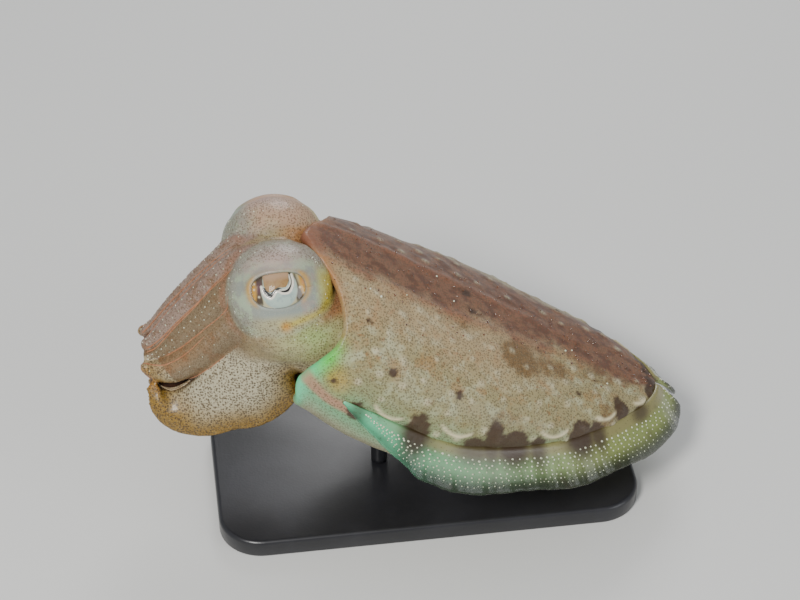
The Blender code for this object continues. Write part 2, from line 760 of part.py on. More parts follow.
def fin_station(share):
    """The fin's root, its direction outwards and its width at a share of its way from front to tail."""
    s = FIN_START + (MANTLE_LENGTH - FIN_START) * (1 - (1 - share) ** FIN_CROWDING)
    half_width, line, _, _ = mantle_section(s)
    step = 0.2
    low, high = max(s - step, 0.0), min(s + step, MANTLE_LENGTH)
    slope = (mantle_section(high)[0] - mantle_section(low)[0]) / (high - low)
    outwards = Vector((-slope, -1.0)).normalized()
    v = -max(half_width, FIN_NOTCH)
    root = body_point(s + outwards.x * FIN_GAP, v + outwards.y * FIN_GAP, line)
    lean = FIN_LOBE_LEAN * max(0.0, 1.0 - share / FIN_LOBE_SHARE)
    outwards = Vector((outwards.x - math.sin(lean), outwards.y * math.cos(lean))).normalized()
    rise = min(1.0, (share + FIN_RISE_START) / FIN_RISE)
    fall = max(0.0, share - FIN_END_SHARE) / (1.0 - FIN_END_SHARE)
    width = FIN_WIDTH * math.sqrt(1 - (1 - rise) ** 2) * (1.0 - FIN_NARROWING * share)
    width *= 1 - (1 - FIN_END_WIDTH) * fall**FIN_END_FALL
    wave = FIN_WAVE_HEIGHT * math.sin(2 * math.pi * FIN_WAVES * share)
    level = body_point(outwards.x, outwards.y, 0.0) - body_point(0.0, 0.0, 0.0)
    droop = FIN_DROOP * (1 - (1 - FIN_END_DROOP) * fall)
    direction = level * math.cos(droop) + DOWN * math.sin(droop)
    return root, direction, width, wave


def make_fin(collection, material):
    """A thin waving membrane, thickest at its root along the mantle's side."""
    up = body_point(0.0, 0.0, 1.0) - MANTLE_FRONT
    rings = []
    for k in range(FIN_STEPS + 1):
        root, direction, width, wave = fin_station(k / FIN_STEPS)
        upper = []
        lower = []
        for share in FIN_ACROSS:
            half = 0.5 * (FIN_ROOT + (FIN_EDGE - FIN_ROOT) * min(1.0, share * FIN_THINNING))
            middle = root + direction * width * share + up * wave * share**1.5
            middle += DOWN * width * FIN_SAG * share * share
            upper.append(middle + up * half)
            lower.append(middle - up * half)
        rings.append(upper + lower[::-1])
    return loft("fin_left", rings, collection, material)


def make_funnel(collection, material):
    """The funnel under the head, a flattened tube with an open mouth, cut clear of the head."""
    table = numbered(FUNNEL_STATIONS)

    def ring_at(share, scale):
        x, z, half_width, half_height = smooth_row(table, share)
        ring = []
        for k in range(FUNNEL_SIDES):
            turn = 2 * math.pi * k / FUNNEL_SIDES
            y = half_width * scale * math.sin(turn)
            ring.append(Vector((x, y, z + half_height * scale * math.cos(turn))))
        return ring

    rings = [ring_at(k / FUNNEL_STEPS, 1.0) for k in range(FUNNEL_STEPS + 1)]
    rings += [ring_at(share, scale) for share, scale in FUNNEL_BORE]
    x, z, _, _ = smooth_row(table, FUNNEL_BORE_END)
    funnel = loft("funnel", rings, collection, material, last_point=Vector((x, 0.0, z)))
    return combine(funnel, [make_head_form("head room", collection, grow=GAP)], "DIFFERENCE")


def make_stand(collection, material):
    """A flat base with rounded corners and two rods up to the belly."""
    top_level = STAND_LOW + BASE_HEIGHT
    work = bmesh.new()
    bmesh.ops.create_cube(work, size=1.0)
    size = Vector((BASE_LENGTH, BASE_WIDTH, BASE_HEIGHT))
    bmesh.ops.scale(work, verts=work.verts, vec=size)
    bmesh.ops.translate(work, verts=work.verts, vec=Vector((BASE_MIDDLE, 0.0, top_level - 0.5 * BASE_HEIGHT)))
    upright = [e for e in work.edges if abs(e.verts[0].co.z - e.verts[1].co.z) > 0.5 * BASE_HEIGHT]
    bmesh.ops.bevel(work, geom=upright, offset=BASE_CORNER, segments=BASE_CORNER_STEPS, profile=0.5,
                    affect="EDGES")
    top = [e for e in work.edges if all(abs(v.co.z - top_level) < 0.01 for v in e.verts)]
    bmesh.ops.bevel(work, geom=top, offset=BASE_EDGE, segments=BASE_EDGE_STEPS, profile=0.5, affect="EDGES")
    bmesh.ops.recalc_face_normals(work, faces=work.faces)
    mesh = bpy.data.meshes.new("stand_base")
    work.to_mesh(mesh)
    work.free()
    made = [link_mesh("stand_base", mesh, collection, material)]
    low = top_level + GAP
    for name, x in ROD_PLACES:
        rod = bmesh.new()
        bmesh.ops.create_cone(rod, cap_ends=True, segments=ROD_SIDES, radius1=ROD_RADIUS,
                              radius2=ROD_RADIUS, depth=ROD_TOP - low)
        bmesh.ops.translate(rod, verts=rod.verts, vec=Vector((x, 0.0, 0.5 * (ROD_TOP + low))))
        mesh = bpy.data.meshes.new("stand_rod_" + name)
        rod.to_mesh(mesh)
        rod.free()
        rod = link_mesh("stand_rod_" + name, mesh, collection, material)
        made.append(combine(rod, [make_swollen_belly("belly room", collection)], "DIFFERENCE"))
    return made


def stand_on_floor(objects):
    """Moves everything so that the origin is on the floor under the middle of its box, and makes it metres."""
    points = [v.co for obj in objects for v in obj.data.vertices]
    low = Vector([min(p[axis] for p in points) for axis in range(3)])
    high = Vector([max(p[axis] for p in points) for axis in range(3)])
    shift = Vector((-0.5 * (low.x + high.x), -0.5 * (low.y + high.y), -low.z))
    for obj in objects:
        obj.data.transform(Matrix.Scale(MM, 4) @ Matrix.Translation(shift))


def main():
    for obj in list(bpy.data.objects):
        bpy.data.objects.remove(obj)
    animal = bpy.data.collections.new("cuttlefish")
    bpy.context.scene.collection.children.link(animal)

    skin = new_material("mantle skin", (0.44, 0.36, 0.28), 0.5)
    head_skin = new_material("head skin", (0.50, 0.42, 0.32), 0.5)
    arm_skin = new_material("arm skin", (0.46, 0.35, 0.25), 0.5)
    fin_skin = new_material("fin skin", (0.62, 0.66, 0.60), 0.4)
    funnel_skin = new_material("funnel skin", (0.62, 0.56, 0.48), 0.45)
    eye_skin = new_material("eye", (0.30, 0.24, 0.18), 0.15)
    stand_finish = new_material("stand", (0.05, 0.05, 0.055), 0.35)

    made = [make_mantle("mantle", animal, skin), make_head(animal, head_skin)]
    fin = make_fin(animal, fin_skin)
    made += [fin, mirrored(fin, "fin_right")]
    made += [make_eye("eye_left", 1, animal, eye_skin), make_eye("eye_right", -1, animal, eye_skin)]
    made += make_arms(animal, arm_skin)
    made.append(make_funnel(animal, funnel_skin))
    made += make_stand(animal, stand_finish)
    stand_on_floor(made)


if __name__ == "__main__":
    main()
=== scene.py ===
# %% [markdown]
# # A young cuttlefish on a display stand
#
# This lesson dresses a finished model of a young common cuttlefish, about 100 mm from the tips of its arms to
# its tail. The solids already have the right sizes. What they lack is life: wet skin with thousands of tiny
# colour dots, glassy eyes, soft fins with rows of white spots, and suckers fine enough to count. The animal
# faces -X, its left side is -Y and +Z is up. All modelling is done in millimetres, in the frame in which the
# animal was drawn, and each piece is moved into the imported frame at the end.

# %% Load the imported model
import math
import random

import bmesh
import bpy
import numpy as np
from mathutils import Matrix, Vector, kdtree, noise


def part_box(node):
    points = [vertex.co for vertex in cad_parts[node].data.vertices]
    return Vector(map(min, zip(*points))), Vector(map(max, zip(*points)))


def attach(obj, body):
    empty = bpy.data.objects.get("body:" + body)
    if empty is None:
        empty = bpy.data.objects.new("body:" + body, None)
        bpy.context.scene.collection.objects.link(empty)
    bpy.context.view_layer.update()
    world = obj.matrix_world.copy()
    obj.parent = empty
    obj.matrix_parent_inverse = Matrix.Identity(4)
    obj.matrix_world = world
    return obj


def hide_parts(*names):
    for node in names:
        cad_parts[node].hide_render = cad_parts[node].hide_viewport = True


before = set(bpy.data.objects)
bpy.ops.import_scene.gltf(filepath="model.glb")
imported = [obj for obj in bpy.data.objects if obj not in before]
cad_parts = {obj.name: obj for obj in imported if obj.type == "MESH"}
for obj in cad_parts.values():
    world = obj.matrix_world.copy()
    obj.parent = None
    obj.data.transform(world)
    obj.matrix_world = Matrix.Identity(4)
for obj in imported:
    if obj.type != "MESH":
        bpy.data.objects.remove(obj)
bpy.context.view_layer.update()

# %% [markdown]
# The stand's base was drawn with its middle at X = 1 mm and its underside at Z = 2 mm. Reading where it is
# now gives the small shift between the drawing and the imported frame, so that every piece below lands on the
# solids.

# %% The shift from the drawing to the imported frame
MM = 0.001
BASE_MIDDLE = 1.0
BASE_UNDERSIDE = 2.0
BASE_HEIGHT = 3.5
base_low, base_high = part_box("stand_base")
SHIFT = np.array([500 * (base_low[0] + base_high[0]) - BASE_MIDDLE, 0.0, 1000 * base_low[2] - BASE_UNDERSIDE])
print("shift in mm:", SHIFT.round(3))

# %% [markdown]
# Three small helpers are used everywhere. `curve_through` reads a table of stations as smooth curves, `bend`
# raises a value to a power and keeps its sign, which turns an ellipse into a fuller or a leaner one, and
# `between` is a soft switch from 0 to 1.

# %% Helpers for numbers
def curve_through(stations, at):
    """The columns of a table, as smooth curves over its first column."""
    table = np.asarray(stations, float)
    x, y = table[:, 0], table[:, 1:]
    before = np.maximum(np.arange(len(x)) - 1, 0)
    after = np.minimum(np.arange(len(x)) + 1, len(x) - 1)
    slope = (y[after] - y[before]) / (x[after] - x[before])[:, None]
    at = np.asarray(at, float)
    i = np.clip(np.searchsorted(x, at) - 1, 0, len(x) - 2)
    span = x[i + 1] - x[i]
    t = ((at - x[i]) / span)[..., None]
    rise = y[i + 1] - y[i]
    a = slope[i] * span[..., None]
    b = slope[i + 1] * span[..., None]
    return y[i] + (a + b - 2 * rise) * t**3 + (3 * rise - 2 * a - b) * t**2 + a * t


def numbered(points):
    """Points as stations whose first column runs evenly from 0 to 1."""
    return np.column_stack([np.linspace(0, 1, len(points)), points])


def bend(value, power):
    return np.sign(value) * np.abs(value) ** power


def between(low, high, value):
    t = np.clip((np.asarray(value, float) - low) / (high - low), 0, 1)
    return t * t * (3 - 2 * t)


def bump(distance, width):
    """A soft hill of height 1 that has fallen to a third at its width."""
    return np.exp(-((np.asarray(distance) / width) ** 2))


def path_distance(x, y, points, steps=60):
    """The distance from points to a smooth path through a few places, all in millimetres."""
    path = curve_through(numbered(points), np.linspace(0, 1, steps))
    best = np.full(len(x), 1e9)
    for (x0, y0), (x1, y1) in zip(path, path[1:]):
        length = max((x1 - x0) ** 2 + (y1 - y0) ** 2, 1e-9)
        t = np.clip(((x - x0) * (x1 - x0) + (y - y0) * (y1 - y0)) / length, 0, 1)
        best = np.minimum(best, np.hypot(x - x0 - t * (x1 - x0), y - y0 - t * (y1 - y0)))
    return best


# %% [markdown]
# Meshes are made from NumPy arrays: a grid of points becomes quads, and the grid may close on itself round a
# body or a tube. A value can be kept at each vertex as a named attribute, which the shaders read later.

# %% Helpers for meshes
skins = bpy.data.collections.new("dressing")
bpy.context.scene.collection.children.link(skins)


def mesh_object(name, points, faces):
    mesh = bpy.data.meshes.new(name)
    mesh.from_pydata(np.asarray(points).tolist(), [], [list(face) for face in faces])
    mesh.update()
    made = bpy.data.objects.new(name, mesh)
    skins.objects.link(made)
    mesh.shade_smooth()
    return made


def grid_faces(rows, columns, start=0):
    """Quads over a grid whose columns close on themselves."""
    r, c = np.meshgrid(np.arange(rows - 1), np.arange(columns), indexing="ij")
    here = start + r * columns + c
    there = start + r * columns + (c + 1) % columns
    return np.stack([here, there, there + columns, here + columns], axis=-1).reshape(-1, 4).tolist()


def tube(name, rings, first_tip=None, last_tip=None):
    """A closed skin through rings of points, each end closed by a point or by the middle of its ring."""
    rings = np.asarray(rings, float)
    rows, columns = rings.shape[:2]
    points = list(rings.reshape(-1, 3))
    faces = grid_faces(rows, columns)
    for start, tip in ((0, first_tip), ((rows - 1) * columns, last_tip)):
        middle = np.mean(rings[0 if start == 0 else -1], axis=0)
        points.append(middle if tip is None else np.asarray(tip, float))
        last = len(points) - 1
        ring = [(start + k, start + (k + 1) % columns, last) for k in range(columns)]
        faces += ring if start else [face[::-1] for face in ring]
    return outwards(mesh_object(name, points, faces))


def outwards(made):
    """Turns every face of a closed mesh outwards."""
    work = bmesh.new()
    work.from_mesh(made.data)
    bmesh.ops.recalc_face_normals(work, faces=work.faces)
    work.to_mesh(made.data)
    work.free()
    return made


def places(made):
    """Vertex positions and normals as arrays."""
    mesh = made.data
    co = np.empty(3 * len(mesh.vertices))
    normal = np.empty(3 * len(mesh.vertices))
    mesh.vertices.foreach_get("co", co)
    mesh.vertices.foreach_get("normal", normal)
    return co.reshape(-1, 3), normal.reshape(-1, 3)


def set_places(made, co):
    made.data.vertices.foreach_set("co", np.ascontiguousarray(co).ravel())
    made.data.update()


def keep_value(made, name, values):
    """Keeps one number at each vertex for the shaders."""
    layer = made.data.attributes.new(name, "FLOAT", "POINT")
    layer.data.foreach_set("value", np.ascontiguousarray(values, dtype=float))


def join(name, pieces):
    """One mesh object from several, which are removed."""
    work = bmesh.new()
    for piece in pieces:
        work.from_mesh(piece.data)
    mesh = bpy.data.meshes.new(name)
    work.to_mesh(mesh)
    work.free()
    for piece in pieces:
        bpy.data.objects.remove(piece)
    made = bpy.data.objects.new(name, mesh)
    skins.objects.link(made)
    mesh.shade_smooth()
    return made


def rough(co, size, seed=0.0, octaves=3):
    """Soft noise from about -1 to 1, with waves of about the given size in millimetres."""
    shift = Vector((seed, 1.7 * seed, -seed))
    return np.array([noise.fractal(Vector(p) / size + shift, 1.0, 2.0, octaves) for p in co])


def nearest(co, marks):
    """The distance from each point to the nearest mark, and that mark's number."""
    tree = kdtree.KDTree(len(marks))
    for k, mark in enumerate(marks):
        tree.insert(Vector(mark), k)
    tree.balance()
    found = [tree.find(Vector(p)) for p in co]
    return np.array([f[2] for f in found]), np.array([f[1] for f in found])


def finish_piece(made, slot, *nodes):
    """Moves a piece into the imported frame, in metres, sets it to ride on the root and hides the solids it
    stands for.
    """
    co, _ = places(made)
    set_places(made, (co + SHIFT) * MM)
    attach(made, "root")
    if nodes:
        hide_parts(*nodes)
    print(f"{made.name}: {len(made.data.polygons)} faces")
    return made


# %% [markdown]
# ## The mantle
#
# The mantle is the animal's bag of a body: round in front, flattened towards the tail, and open at the front
# like a collar round the neck. It could be sculpted, but a grid laid along its length and round its girth has
# a great advantage: it is known of each vertex how far back it lies and how far round from the middle of the
# back, so every marking can be placed the way a naturalist would describe it.

# %% The mantle's sizes
MANTLE_FRONT = np.array([-25.0, 0.0, 45.1])
MANTLE_PITCH = math.radians(21.0)
MANTLE_LENGTH = 75.0
MANTLE_WALL = 1.7
MANTLE_FULLNESS = 0.86
TAIL_BLUNTNESS = 8
RECESS_DEPTH = 9.0
RECESS_FLOOR = 16.0
RECESS_THICKENING = 1.4
MARGIN_FADE = 3
# Distance along the axis, then half width, height of the widest line, height of the back, depth of the belly.
MANTLE_STATIONS = (
    (0.0, 16.2, 0.0, 16.0, 12.0),
    (7.5, 19.5, -1.0, 15.1, 13.6),
    (14.0, 21.8, -2.2, 13.6, 15.6),
    (22.0, 23.5, -3.6, 11.5, 17.0),
    (34.0, 24.6, -4.4, 8.8, 17.4),
    (50.0, 21.4, -3.2, 5.4, 14.6),
    (61.0, 17.4, -1.8, 4.1, 10.7),
    (68.0, 14.4, -0.8, 3.5, 8.0),
    (75.0, 11.4, 0.0, 3.0, 5.6),
)
# Angle round from the middle of the back, and how far the free edge there lies behind its foremost point.
MARGIN_STATIONS = ((0.0, 0.0), (12.0, 2.2), (26.0, 5.6), (48.0, 7.9), (64.0, 7.4), (80.0, 5.4), (96.0, 3.6),
                   (122.0, 5.0), (180.0, 7.6))
BODY_ALONG = np.array([math.cos(MANTLE_PITCH), 0.0, -math.sin(MANTLE_PITCH)])
BODY_UP = np.array([math.sin(MANTLE_PITCH), 0.0, math.cos(MANTLE_PITCH)])
BODY_SIDE = np.array([0.0, 1.0, 0.0])


def body_point(s, v, w):
    """Points of the mantle's own frame: s back along its axis, v to the right and w towards the back."""
    s, v, w = (np.asarray(value, float)[..., None] for value in (s, v, w))
    return MANTLE_FRONT + BODY_ALONG * s + BODY_SIDE * v + BODY_UP * w


def mantle_section(s):
    s = np.clip(s, 0, MANTLE_LENGTH)
    closing = np.sqrt(np.maximum(0, 1 - (s / MANTLE_LENGTH) ** TAIL_BLUNTNESS))
    half_width, line, height, depth = np.moveaxis(curve_through(MANTLE_STATIONS, s), -1, 0)
    return half_width * closing, line, (height - line) * closing, (depth + line) * closing


def mantle_surface(s, angle, inset=0.0, belly=None):
    """Points of the mantle's skin, angle degrees round from the middle of the back towards the left."""
    half_width, line, height, depth = mantle_section(s)
    turn = np.radians(angle)
    across, upward = np.sin(turn), np.cos(turn)
    below = depth - inset if belly is None else belly
    tall = np.where(upward > 0, height - inset, below)
    v = -(half_width - inset) * bend(across, MANTLE_FULLNESS)
    return body_point(s, v, line + tall * bend(upward, MANTLE_FULLNESS))


def margin_offset(angle):
    folded = np.abs((np.asarray(angle) + 180.0) % 360.0 - 180.0)
    return curve_through(MARGIN_STATIONS, folded)[..., 0]


def recess_inset(depth):
    return MANTLE_WALL + RECESS_THICKENING * (max(depth, 0.0) / RECESS_DEPTH) ** 3


print("girth at the widest:", round(float(2 * mantle_section(34.0)[0]), 1), "mm")

# %% [markdown]
# The grid starts at the tail, runs forward over the outside, rolls round the free edge and goes back into the
# collar's inside. Rings lie closer together at both ends, where the form turns fastest. Three lists say where
# each vertex is: `along` is 0 at the front and 75 at the tail, `turned` is 0 on the back, 90 at the fins and
# 180 on the belly, and `side` is -1 on the animal's left and +1 on its right.

# %% The mantle's grid
MANTLE_COLUMNS = 288
MANTLE_RINGS = 190
LIP_STEPS = 9
MARGIN_START = 0.3
MARGIN_ROLL = 0.7


def mantle_ring(depth, inset, columns, belly=None):
    """A ring that follows the free edge in front and is square to the axis far back, with its s values."""
    angle = 360.0 * np.arange(columns) / columns
    s = depth + margin_offset(angle) * (1.0 - depth / MANTLE_LENGTH) ** MARGIN_FADE
    return mantle_surface(s, angle, inset(angle) if callable(inset) else inset, belly), s, angle


share = np.arange(1, MANTLE_RINGS) / MANTLE_RINGS
outer = MARGIN_START + (MANTLE_LENGTH - MARGIN_START) * (0.5 - 0.5 * np.cos(math.pi * share))
profile = [(depth, 0.0, 0.0) for depth in outer[::-1]]
for k in range(LIP_STEPS + 1):
    roll = math.pi * k / LIP_STEPS
    profile.append((MARGIN_START - MARGIN_ROLL * math.sin(roll), 0.5 * MANTLE_WALL * (1 - math.cos(roll)),
                    k / LIP_STEPS))
for share in np.linspace(0.06, 1.0, 16):
    depth = MARGIN_START + share * RECESS_DEPTH
    profile.append((depth, recess_inset(depth), 1.0))
rings, along, around, inner = [], [], [], []
for depth, inset, inside in profile:
    ring, s, angle = mantle_ring(depth, inset, MANTLE_COLUMNS)
    rings.append(ring)
    along.append(s)
    around.append(angle)
    inner.append(np.full(MANTLE_COLUMNS, inside))
mantle = tube("mantle_skin", rings, body_point(MANTLE_LENGTH, 0.0, 0.0), body_point(RECESS_FLOOR, 0.0, 0.0))
along = np.append(np.concatenate(along), [MANTLE_LENGTH, RECESS_FLOOR])
around = np.append(np.concatenate(around), [0.0, 0.0])
inner = np.append(np.concatenate(inner), [0.0, 1.0])
turned = np.abs((around + 180.0) % 360.0 - 180.0)
side = np.where(around < 180.0, -1.0, 1.0)
print("mantle vertices:", len(along))

# %% [markdown]
# The skin isn't smooth: soft hollows run over the flank, pale papillae stand up every few millimetres, and
# two low folds run back from the foremost point on either side of the midline. These are moved into the
# mesh itself, so that they catch the light from every side; only the finest grain is left to the shader.

# %% Papillae, folds and hollows of the mantle
PAPILLA_TRIES = 900
PAPILLA_GAP = 3.6
PAPILLA_EDGE_GAP = 4.0
co, normal = places(mantle)
margin = along - margin_offset(around) * (1.0 - np.clip(along, 0, 75) / MANTLE_LENGTH) ** MARGIN_FADE
outside = 1.0 - inner
rng = random.Random(7)
papillae = []
for _ in range(PAPILLA_TRIES):
    s, angle = rng.uniform(9.0, 73.0), rng.uniform(16.0, 86.0)
    spot = mantle_surface(s, angle if rng.random() < 0.5 else 360.0 - angle)
    if s - margin_offset(angle) <= PAPILLA_EDGE_GAP:
        continue
    if all(np.linalg.norm(spot - other) > PAPILLA_GAP for other in papillae):
        papillae.append(spot)
papilla_far, papilla_number = nearest(co, papillae)
papilla_size = np.array([rng.uniform(0.75, 1.35) for _ in papillae])[papilla_number]
papilla = bump(papilla_far, 0.85 * papilla_size) * outside
soft = rough(co, 7.0, 3.0)
fine = rough(co, 1.6, 11.0)
fold_line = 13.0 - 0.12 * along
fold = bump(turned - fold_line, 2.6) * between(74.0, 30.0, along) * (0.75 + 0.5 * rough(co, 3.0, 5.0))
front_point = bump(np.hypot(margin / 3.0, turned / 9.0), 1.0)
relief = 0.16 * soft + 0.05 * fine + 0.26 * papilla + 0.30 * fold + 0.35 * front_point
set_places(mantle, co + normal * (relief * outside)[:, None])
print("papillae:", len(papillae), "highest relief", round(float(relief.max()), 2), "mm")

# %% [markdown]
# The markings are masks between 0 and 1. Dark blotches lie in a row along the root of the fins with thin
# cream crescents between them, a brown patch lies across the back, and a few small dark spots are scattered
# over the flank. Each is one line in a table: how far back, how far round, and how long and how high it is.
# The right side takes the same table with every place shifted a little, as real animals are never quite
# even.

# %% The mantle's markings
# Back along the mantle in mm, degrees round, half length and half height in mm, strength.
DARK_MARKS = (
    (13.5, 92.0, 1.6, 2.2, 0.8), (24.3, 86.5, 2.4, 3.4, 1.0), (27.6, 93.0, 1.4, 1.6, 0.7),
    (35.4, 86.0, 3.2, 1.9, 0.8), (38.5, 78.0, 2.0, 3.2, 0.9), (42.8, 84.0, 3.2, 2.6, 1.0),
    (47.6, 89.0, 1.7, 2.6, 0.9), (56.2, 82.0, 3.0, 3.0, 1.0), (59.8, 87.0, 1.7, 2.6, 0.9),
    (65.2, 66.0, 1.9, 3.0, 1.0), (69.4, 82.0, 2.2, 1.4, 0.8), (73.2, 50.0, 2.4, 2.0, 1.0),
    (73.8, 25.0, 1.6, 2.6, 0.8), (12.0, 39.3, 0.9, 0.8, 0.5), (17.4, 60.4, 0.9, 0.9, 0.75),
    (30.1, 55.4, 0.9, 0.9, 0.75), (34.1, 3.1, 1.6, 1.4, 0.6), (55.1, 36.2, 0.7, 0.7, 0.6),
    (21.0, 47.0, 0.6, 0.5, 0.4), (8.4, 84.0, 0.8, 0.7, 0.6),
)
BROWN_MARKS = ((43.0, 20.0, 4.4, 4.2, 1.0), (50.0, 20.0, 4.4, 3.4, 0.6), (60.0, 20.0, 5.0, 2.4, 0.5),
               (31.0, 12.0, 4.0, 2.6, 0.4), (62.0, 66.0, 3.0, 4.0, 0.5), (40.0, 68.0, 5.0, 4.0, 0.35))
CREAM_ARCS = ((18.4, 86.5, 3.2), (31.0, 81.5, 3.4), (50.5, 78.0, 3.4), (61.5, 68.0, 3.0), (69.6, 60.0, 2.2))


def patch(co, s, angle, half_long, half_high):
    """How far points are from a mark's middle, in the mark's own half sizes."""
    middle = mantle_surface(s, angle)
    ahead = mantle_surface(s + 0.5, angle) - mantle_surface(s - 0.5, angle)
    ahead /= np.linalg.norm(ahead)
    gap = co - middle
    u = gap @ ahead
    v = np.linalg.norm(gap - u[:, None] * ahead, axis=1)
    return np.hypot(u / half_long, v / half_high)


def painted(co, marks):
    mask = np.zeros(len(co))
    for number, (s, angle, half_long, half_high, strength) in enumerate(marks):
        for turn in (angle, 360.0 - angle + 2.0 * math.sin(5.0 * number)):
            shifted = s if turn == angle else s + 1.2 * math.cos(3.0 * number)
            away = patch(co, shifted, turn, half_long, half_high)
            mask = np.maximum(mask, strength * between(1.45, 0.4, away))
    return mask


def arcs(co, marks):
    """Thin crescents, open towards the back."""
    mask = np.zeros(len(co))
    for s, angle, half in marks:
        for turn in (angle, 360.0 - angle):
            middle = mantle_surface(s, turn)
            ahead = mantle_surface(s + 0.5, turn) - mantle_surface(s - 0.5, turn)
            upward = mantle_surface(s, turn - 1.0 if turn < 180.0 else turn + 1.0) - middle
            ahead /= np.linalg.norm(ahead)
            upward -= ahead * (upward @ ahead)
            upward /= np.linalg.norm(upward)
            gap = co - middle
            u, v = gap @ ahead, gap @ upward
            near = np.linalg.norm(gap, axis=1) < 2.0 * half
            line = bump(v - 0.13 * u * u, 0.32) * between(half, 0.7 * half, np.abs(u)) * near
            mask = np.maximum(mask, line)
    return mask


crescent = arcs(co, CREAM_ARCS) * outside
co, normal = places(mantle)
set_places(mantle, co + normal * (0.30 * crescent)[:, None])
keep_value(mantle, "arc", crescent)
ragged = 0.30 * rough(co, 1.3, 17.0)
keep_value(mantle, "dark", between(0.30, 0.58, painted(co, DARK_MARKS) + ragged) * outside)
keep_value(mantle, "brown", between(0.15, 0.75, painted(co, BROWN_MARKS) + ragged) * outside)
keep_value(mantle, "cream", 0.75 * between(0.35, 1.0, papilla))
# The back's own brown band, which on the right side runs far down the flank as painted shade.
band_and_shade_edge = np.where(side < 0, 9.0 - 0.06 * along, 44.0 - 0.15 * along) + 1.3 * np.maximum(along - 54.0, 0.0)
back_band_and_shade = between(8.0, -7.0, turned - band_and_shade_edge + 6.0 * soft + 3.0 * fine)
keep_value(mantle, "back", back_band_and_shade * between(0.0, 1.0, 76.0 - along))
collar = bump(margin, 2.1) * between(80.0, 62.0, turned) * between(6.0, 16.0, turned)
keep_value(mantle, "collar", np.clip(collar, 0, 1))
groove = path_distance(along, turned * 0.36, ((3.4, 32.0), (6.0, 33.4), (9.0, 34.2), (13.0, 33.6)))
keep_value(mantle, "groove", between(2.0, 0.7, groove) * outside)
keep_value(mantle, "belly", between(86.0, 104.0, turned + 4.0 * soft) * outside)
turquoise = bump(turned - 99.0 - 4.0 * soft, 15.0) * between(70.0, 40.0, along)
keep_value(mantle, "turquoise", np.clip(turquoise, 0, 1) * outside)
keep_value(mantle, "pink", np.clip(0.8 * fold + front_point, 0, 1) * outside)
lip_side = between(50.0, 82.0, turned) * between(150.0, 112.0, turned)
keep_value(mantle, "lip", bump(margin - 0.4, 1.7) * lip_side)
keep_value(mantle, "lip_top", bump(margin - 0.6, 2.4) * bump(turned - 72.0, 12.0) * outside)
keep_value(mantle, "low", between(46.0, 80.0, turned + 6.0 * soft) * outside)
keep_value(mantle, "upper", between(52.0, 24.0, turned + 6.0 * soft) * between(60.0, 40.0, along) * outside)
keep_value(mantle, "gold", bump(np.hypot(along - 8.6, (turned - 82.0) * 0.30), 2.3) * outside)
keep_value(mantle, "smooth", np.clip(bump(margin, 1.6) + inner, 0, 1))
print("markings:", len(DARK_MARKS) + len(BROWN_MARKS) + len(CREAM_ARCS), "on each side")

# %% [markdown]
# ## The fins
#
# A fin runs along each side, thickest at its root and as thin as film at its edge, with slow waves along
# it. It is a closed sheet, built like the mantle as a grid that knows how far along and how far out each
# vertex lies.

# %% The fins' sizes
FIN_START = 11.0
FIN_WIDTH = 6.9
FIN_ROOT = 1.5
FIN_EDGE = 0.22
FIN_DROOP = math.radians(34.0)
FIN_WAVES = 4.0
FIN_WAVE_HEIGHT = 0.55
FIN_CROWDING = 1.9
FIN_GAP = 0.4
FIN_SUNK = 0.9
FIN_SAG = 0.10
FIN_NOTCH = 1.3
FIN_LOBE_LEAN = math.radians(25.0)
FIN_LOBE_SHARE = 0.08
FIN_RISE = 0.10
FIN_RISE_START = 0.03
FIN_NARROWING = 0.15
FIN_END_SHARE = 0.93
FIN_END_WIDTH = 0.5
FIN_END_FALL = 2.5
FIN_END_DROOP = 0.25
# The front end widens over its first share of the fin, from a small part of the full width.
FIN_FRONT_SHARE = 0.12
FIN_FRONT_WIDTH = 0.08
FIN_FRONT_POWER = 0.9


def fin_station(share):
    """The fin's root, its direction outwards, its width and its wave at a share of its way to the tail."""
    s = FIN_START + (MANTLE_LENGTH - FIN_START) * (1 - (1 - share) ** FIN_CROWDING)
    half_width, line, _, _ = mantle_section(s)
    low, high = max(s - 0.2, 0.0), min(s + 0.2, MANTLE_LENGTH)
    slope = (mantle_section(high)[0] - mantle_section(low)[0]) / (high - low)
    outwards_here = Vector((-slope, -1.0)).normalized()
    v = -max(float(half_width), FIN_NOTCH)
    root = body_point(s + outwards_here.x * FIN_GAP, v + outwards_here.y * FIN_GAP, line)
    lean = FIN_LOBE_LEAN * max(0.0, 1.0 - share / FIN_LOBE_SHARE)
    aim = Vector((outwards_here.x - math.sin(lean), outwards_here.y * math.cos(lean))).normalized()
    rise = min(1.0, (share + FIN_RISE_START) / FIN_RISE)
    fall = max(0.0, share - FIN_END_SHARE) / (1.0 - FIN_END_SHARE)
    width = FIN_WIDTH * math.sqrt(1 - (1 - rise) ** 2) * (1.0 - FIN_NARROWING * share)
    opened = min(1.0, share / FIN_FRONT_SHARE) ** FIN_FRONT_POWER
    width *= FIN_FRONT_WIDTH + (1 - FIN_FRONT_WIDTH) * opened
    width *= 1 - (1 - FIN_END_WIDTH) * fall**FIN_END_FALL
    wave = FIN_WAVE_HEIGHT * math.sin(2 * math.pi * FIN_WAVES * share)
    level = BODY_ALONG * aim.x + BODY_SIDE * aim.y
    droop = FIN_DROOP * (1 - (1 - FIN_END_DROOP) * fall)
    direction = level * math.cos(droop) + np.array([0.0, 0.0, -1.0]) * math.sin(droop)
    return root, direction, width, wave


def fin_middle(station, out):
    """The middle of the fin's thickness, out being 0 at the root and 1 at the edge."""
    root, direction, width, wave = station
    middle = root + direction * (width * out) + BODY_UP * (wave * max(out, 0.0) ** 1.5)
    return middle - np.array([0.0, 0.0, 1.0]) * width * FIN_SAG * out * abs(out)


